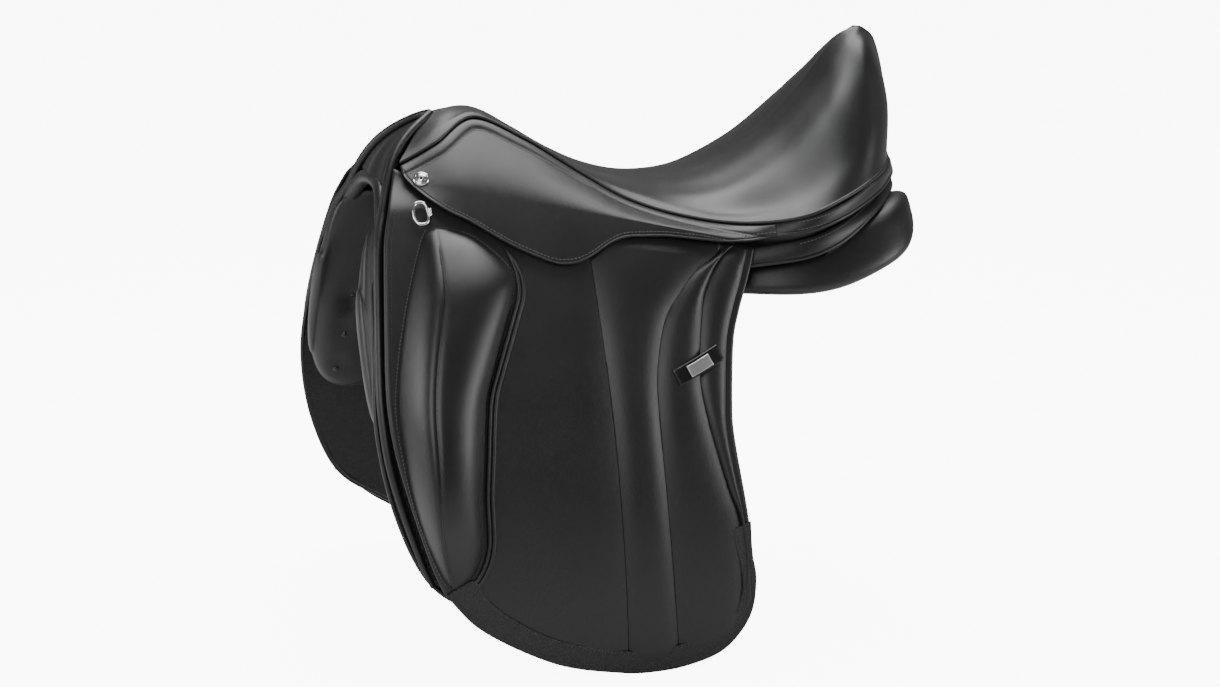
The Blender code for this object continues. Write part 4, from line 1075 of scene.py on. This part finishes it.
def facing():
    roll = smooth_line(roll_line(), 12)[2:70]
    rows = []
    for share, (x, y, z) in zip(np.linspace(0, 1, len(roll)), roll):
        turns = np.linspace(-1, 1, 49)
        bow = 1 - turns ** 2
        crease = 0.0010 * np.sin(turns * 9 + share * 5) * bow * share
        rows.append(np.stack([x + 0.0030 - 0.0055 * bow * share + crease, y * turns,
                              z - 0.0012 + 0.0050 * bow * share ** 2], axis=-1))
    middle = np.array(rows)
    normal = grid_normals(middle)
    if normal[40, 24, 0] > 0:
        normal = -normal
    obj = shell("facing_leather", middle, middle - normal * 0.0022, MATS["panel_leather"], "root")
    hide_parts("head_facing")
    whole = [(x, -y, z) for x, y, z in ARCH] + ARCH[-2::-1]
    arch = smooth_line(whole, 10)
    roll = sweep("arch_roll", arch, 0.0068, MATS["panel_leather"], "root", 20)
    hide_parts("panel_bridge")


# ---- panels ----
# the even row of buttons on each panel's front
BUTTON_TOP, BUTTON_FOOT, BUTTONS = (-0.2265, 0.083, 0.275), (-0.2355, 0.122, 0.201), 3
DIMPLES = np.linspace(BUTTON_TOP, BUTTON_FOOT, BUTTONS)
CAP_ROWS, CAP_FRONT, CAP_REAR = 12, 0.006, 0.002
DIMPLE_REACH, DIMPLE_DEPTH = 0.0120, 0.0075


def bspline(points, steps, closed):
    """Uniform cubic B-spline, which stays inside its cage as a subdivided form does."""
    pts = np.asarray(points, float)
    pts = np.concatenate([pts[-1:], pts, pts[:2]]) if closed else \
        np.concatenate([2 * pts[:1] - pts[1:2], pts, 2 * pts[-1:] - pts[-2:-1]])
    line = []
    for a, b, c, d in zip(pts, pts[1:], pts[2:], pts[3:]):
        for i in range(steps):
            t = i / steps
            line.append(((1 - t) ** 3 * a + (3 * t ** 3 - 6 * t ** 2 + 4) * b
                         + (-3 * t ** 3 + 3 * t ** 2 + 3 * t + 1) * c + t ** 3 * d) / 6)
    if not closed:
        line.append((pts[-3] + 4 * pts[-2] + pts[-1]) / 6)
    return np.array(line)


def panel_cage(side):
    rings = []
    for x, top, bottom, shift, thick, inner in PANEL_STATIONS:
        middle = (top + bottom) / 2
        outer_top, outer_low, outer_mid = (float(side_y(x, z)) + shift for z in (top, bottom, middle))
        slope = np.array([outer_low - outer_top, top - bottom])
        slope = slope / np.linalg.norm(slope)
        inward = np.array([slope[1], slope[0]])
        ring = [(outer_top, top), (outer_mid, middle), (outer_low, bottom + 0.004),
                (outer_low - thick * 0.5 * inward[0], bottom - 0.002),
                (outer_low - thick * inward[0], bottom + thick * 0.25),
                (outer_mid - thick * inward[0], middle - thick * inward[1] * 0.6),
                (max(inner, outer_top - 2.2 * thick), top - thick * 0.75),
                (max(inner, outer_top - 1.9 * thick), top - thick * 0.10)]
        rings.append([(x, side * y, z) for y, z in ring])
    return np.array(rings)


def panel(name, side):
    cage = panel_cage(side)
    rings = np.array([bspline(ring, 8, True) for ring in cage])
    grid = np.stack([bspline(rings[:, k], 8, False) for k in range(rings.shape[1])], axis=1)
    first, last = grid[0].mean(0), grid[-1].mean(0)
    turns = np.linspace(0, pi / 2, CAP_ROWS + 1)[1:]
    front_cap = [first + (grid[0] - first) * max(cos(t), 0.001) - [CAP_FRONT * sin(t), 0, 0]
                 for t in turns[::-1]]
    rear_cap = [last + (grid[-1] - last) * max(cos(t), 0.001) + [CAP_REAR * sin(t), 0, 0] for t in turns]
    grid = np.concatenate([front_cap, grid, rear_cap])
    flat = grid.reshape(-1, 3)
    centre = grid.mean(1, keepdims=True).repeat(grid.shape[1], 1).reshape(-1, 3)
    for x, y, z in DIMPLES:
        spot = flat[np.argmin(np.linalg.norm(flat - [x, side * y, z], axis=1))]
        near = np.exp(-(np.linalg.norm(flat - spot, axis=1) / DIMPLE_REACH) ** 2)
        pull = centre - flat
        pull = pull / np.maximum(np.linalg.norm(pull, axis=1), 1e-6)[:, None]
        flat = flat + pull * (DIMPLE_DEPTH * near)[:, None]
    obj = make(f"panel_cushion_{name}", flat, grid_quads(*grid.shape[:2], wrap=True),
               MATS["panel_leather"], "root", closed=True)
    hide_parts(f"panel_{name}")
    tree = surface_tree(obj)
    spots, normals = laid_on(tree, DIMPLES * [1, side, 1])
    for i, (spot, normal) in enumerate(zip(spots, normals)):
        knob = [(0, -0.0006), (0.0024, -0.0004), (0.0030, 0.0003), (0.0020, 0.0012), (0, 0.0015)]
        turned(f"panel_button_{i}_{name}", knob, spot, normal, MATS["strap_leather"], "root",
               20)


# ---- billets ----
BILLET_X = {"front": -0.130, "rear": -0.020}
BILLET_TOP, BILLET_BOTTOM, BILLET_WIDTH, BILLET_HALF = 0.362, 0.045, 0.026, 0.0019


def billet(place, name, side):
    x = BILLET_X[place]
    zs = BILLET_TOP + (BILLET_BOTTOM - BILLET_TOP) * ease(70)
    grid = np.array([[(x + BILLET_WIDTH * (u - 0.5), z) for u in ease(18)] for z in zs])
    edge = rounded(edge_distance(grid), BILLET_HALF)
    middle = side_y(x, grid[..., 1]) - 0.014 - 0.002
    outer, inner = (np.stack([grid[..., 0], side * (middle + turn * BILLET_HALF * edge), grid[..., 1]], -1)
                    for turn in (1, -1))
    body = f"{place}_billet_{name}"
    obj = shell(f"{place}_girth_strap_{name}", outer, inner, MATS["strap_leather"], body)
    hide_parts(body)
    tree = surface_tree(obj)
    for tag, shift in (("a", -0.0105), ("b", 0.0105)):
        line = np.array([(x + shift, side * (side_y(x, z) - 0.0135), z) for z in zs[4:-4]])
        stitches(f"{place}_girth_strap_stitching_{tag}_{name}", line, tree, MATS["thread"], body)


# ---- frame parts that keep their own shape ----
KEPT = {"tree": "timber", "head_plate": "steel", "seat_web_long": "web", "seat_web_front": "web",
        "seat_web_rear": "web", "seat_foam": "foam", "stirrup_bar_left": "steel",
        "stirrup_bar_right": "steel", "bar_latch_left": "steel", "bar_latch_right": "steel"}


def dress_kept():
    for title, finish in KEPT.items():
        mesh = NODES[title].data
        mesh.materials.clear()
        mesh.materials.append(MATS[finish])


# ---- stage ----
WHITE = 9.0           # how bright the backdrop and the floor look to the camera
ROOM = 0.16           # how much light the room itself throws on the saddle


def seen_by_camera(tree, seen, unseen):
    """Mix of two shaders: one for what the camera sees, one for what lights the object."""
    mix = node(tree, "ShaderNodeMixShader")
    tree.links.new(node(tree, "ShaderNodeLightPath").outputs["Is Camera Ray"], mix.inputs["Fac"])
    tree.links.new(unseen, mix.inputs[1])
    tree.links.new(seen, mix.inputs[2])
    return mix.outputs["Shader"]


def stage():
    bpy.ops.mesh.primitive_plane_add(size=30, location=(0, 0, -0.0006))
    floor = bpy.context.object
    floor.name = "floor"
    mat = bpy.data.materials.new("pale_floor")
    mat.use_nodes = True
    tree = mat.node_tree
    shader = tree.nodes["Principled BSDF"]
    shader.inputs["Base Color"].default_value = (0.86, 0.86, 0.86, 1)
    shader.inputs["Roughness"].default_value = 0.9
    glow = node(tree, "ShaderNodeEmission", strength=WHITE)
    both = node(tree, "ShaderNodeAddShader")
    tree.links.new(shader.outputs["BSDF"], both.inputs[0])
    tree.links.new(glow.outputs["Emission"], both.inputs[1])
    surface = seen_by_camera(tree, both.outputs["Shader"], shader.outputs["BSDF"])
    tree.links.new(surface, tree.nodes["Material Output"].inputs["Surface"])
    floor.data.materials.append(mat)
    world = bpy.data.worlds.new("studio")
    world.use_nodes = True
    tree = world.node_tree
    backdrop = node(tree, "ShaderNodeBackground", strength=WHITE)
    room = tree.nodes["Background"]
    for source, strength in ((backdrop, WHITE), (room, ROOM)):
        source.inputs["Color"].default_value = (1, 1, 1, 1)
        source.inputs["Strength"].default_value = strength
    surface = seen_by_camera(tree, backdrop.outputs["Background"], room.outputs["Background"])
    tree.links.new(surface, tree.nodes["World Output"].inputs["Surface"])
    bpy.context.scene.world = world
    for title, place, size, power in (("key", (-1.3, -1.7, 1.5), 1.5, 30.0),
                                      ("side", (1.7, -1.1, 0.75), 0.9, 20.0),
                                      ("top", (0.2, 0.5, 1.9), 1.3, 42.0),
                                      ("front", (-1.8, 0.3, 0.7), 0.8, 12.0)):
        light = bpy.data.lights.new(title, "AREA")
        light.size = size
        light.energy = power
        lamp = bpy.data.objects.new(title, light)
        lamp.location = place
        lamp.rotation_euler = (Vector((0, 0, 0.25)) - Vector(place)).to_track_quat("-Z", "Y").to_euler()
        bpy.context.scene.collection.objects.link(lamp)
    azimuth, elevation, distance = radians(-17), radians(14), 3.0
    target = Vector((-0.00405, 0.0, 0.2371))
    back = Vector((sin(azimuth) * cos(elevation), -cos(azimuth) * cos(elevation), sin(elevation)))
    lens = bpy.data.cameras.new("camera")
    lens.lens, lens.sensor_width = 97.2, 36.0
    camera = bpy.data.objects.new("camera", lens)
    camera.location = target + back * distance
    camera.rotation_euler = (-back).to_track_quat("-Z", "Y").to_euler()
    bpy.context.scene.collection.objects.link(camera)
    bpy.context.scene.camera = camera


seat_outer = seat_surface()
seat_middle = seat()
dress_kept()
facing()
cantle_lining(seat_middle)
channel_lining()
cantle_band("tail_band", TAIL_UPPER, TAIL_LOWER, 0.0016, "skirt_tail", MATS["leather"])
cantle_band("panel_welt_band", BAND_UPPER, BAND_LOWER, 0.0022, "panel_band", MATS["leather"])
for label, k in SIDES:
    edge_line = seat_outer[:, -1]
    top = skirt(label, k, edge_line[edge_line[:, 0].argsort()])
    flap(label, k)
    stud(label, k, top)
    sweat_flap(label, k)
    front_roll(label, k)
    panel(label, k)
    for where in BILLET_X:
        billet(where, label, k)
stage()
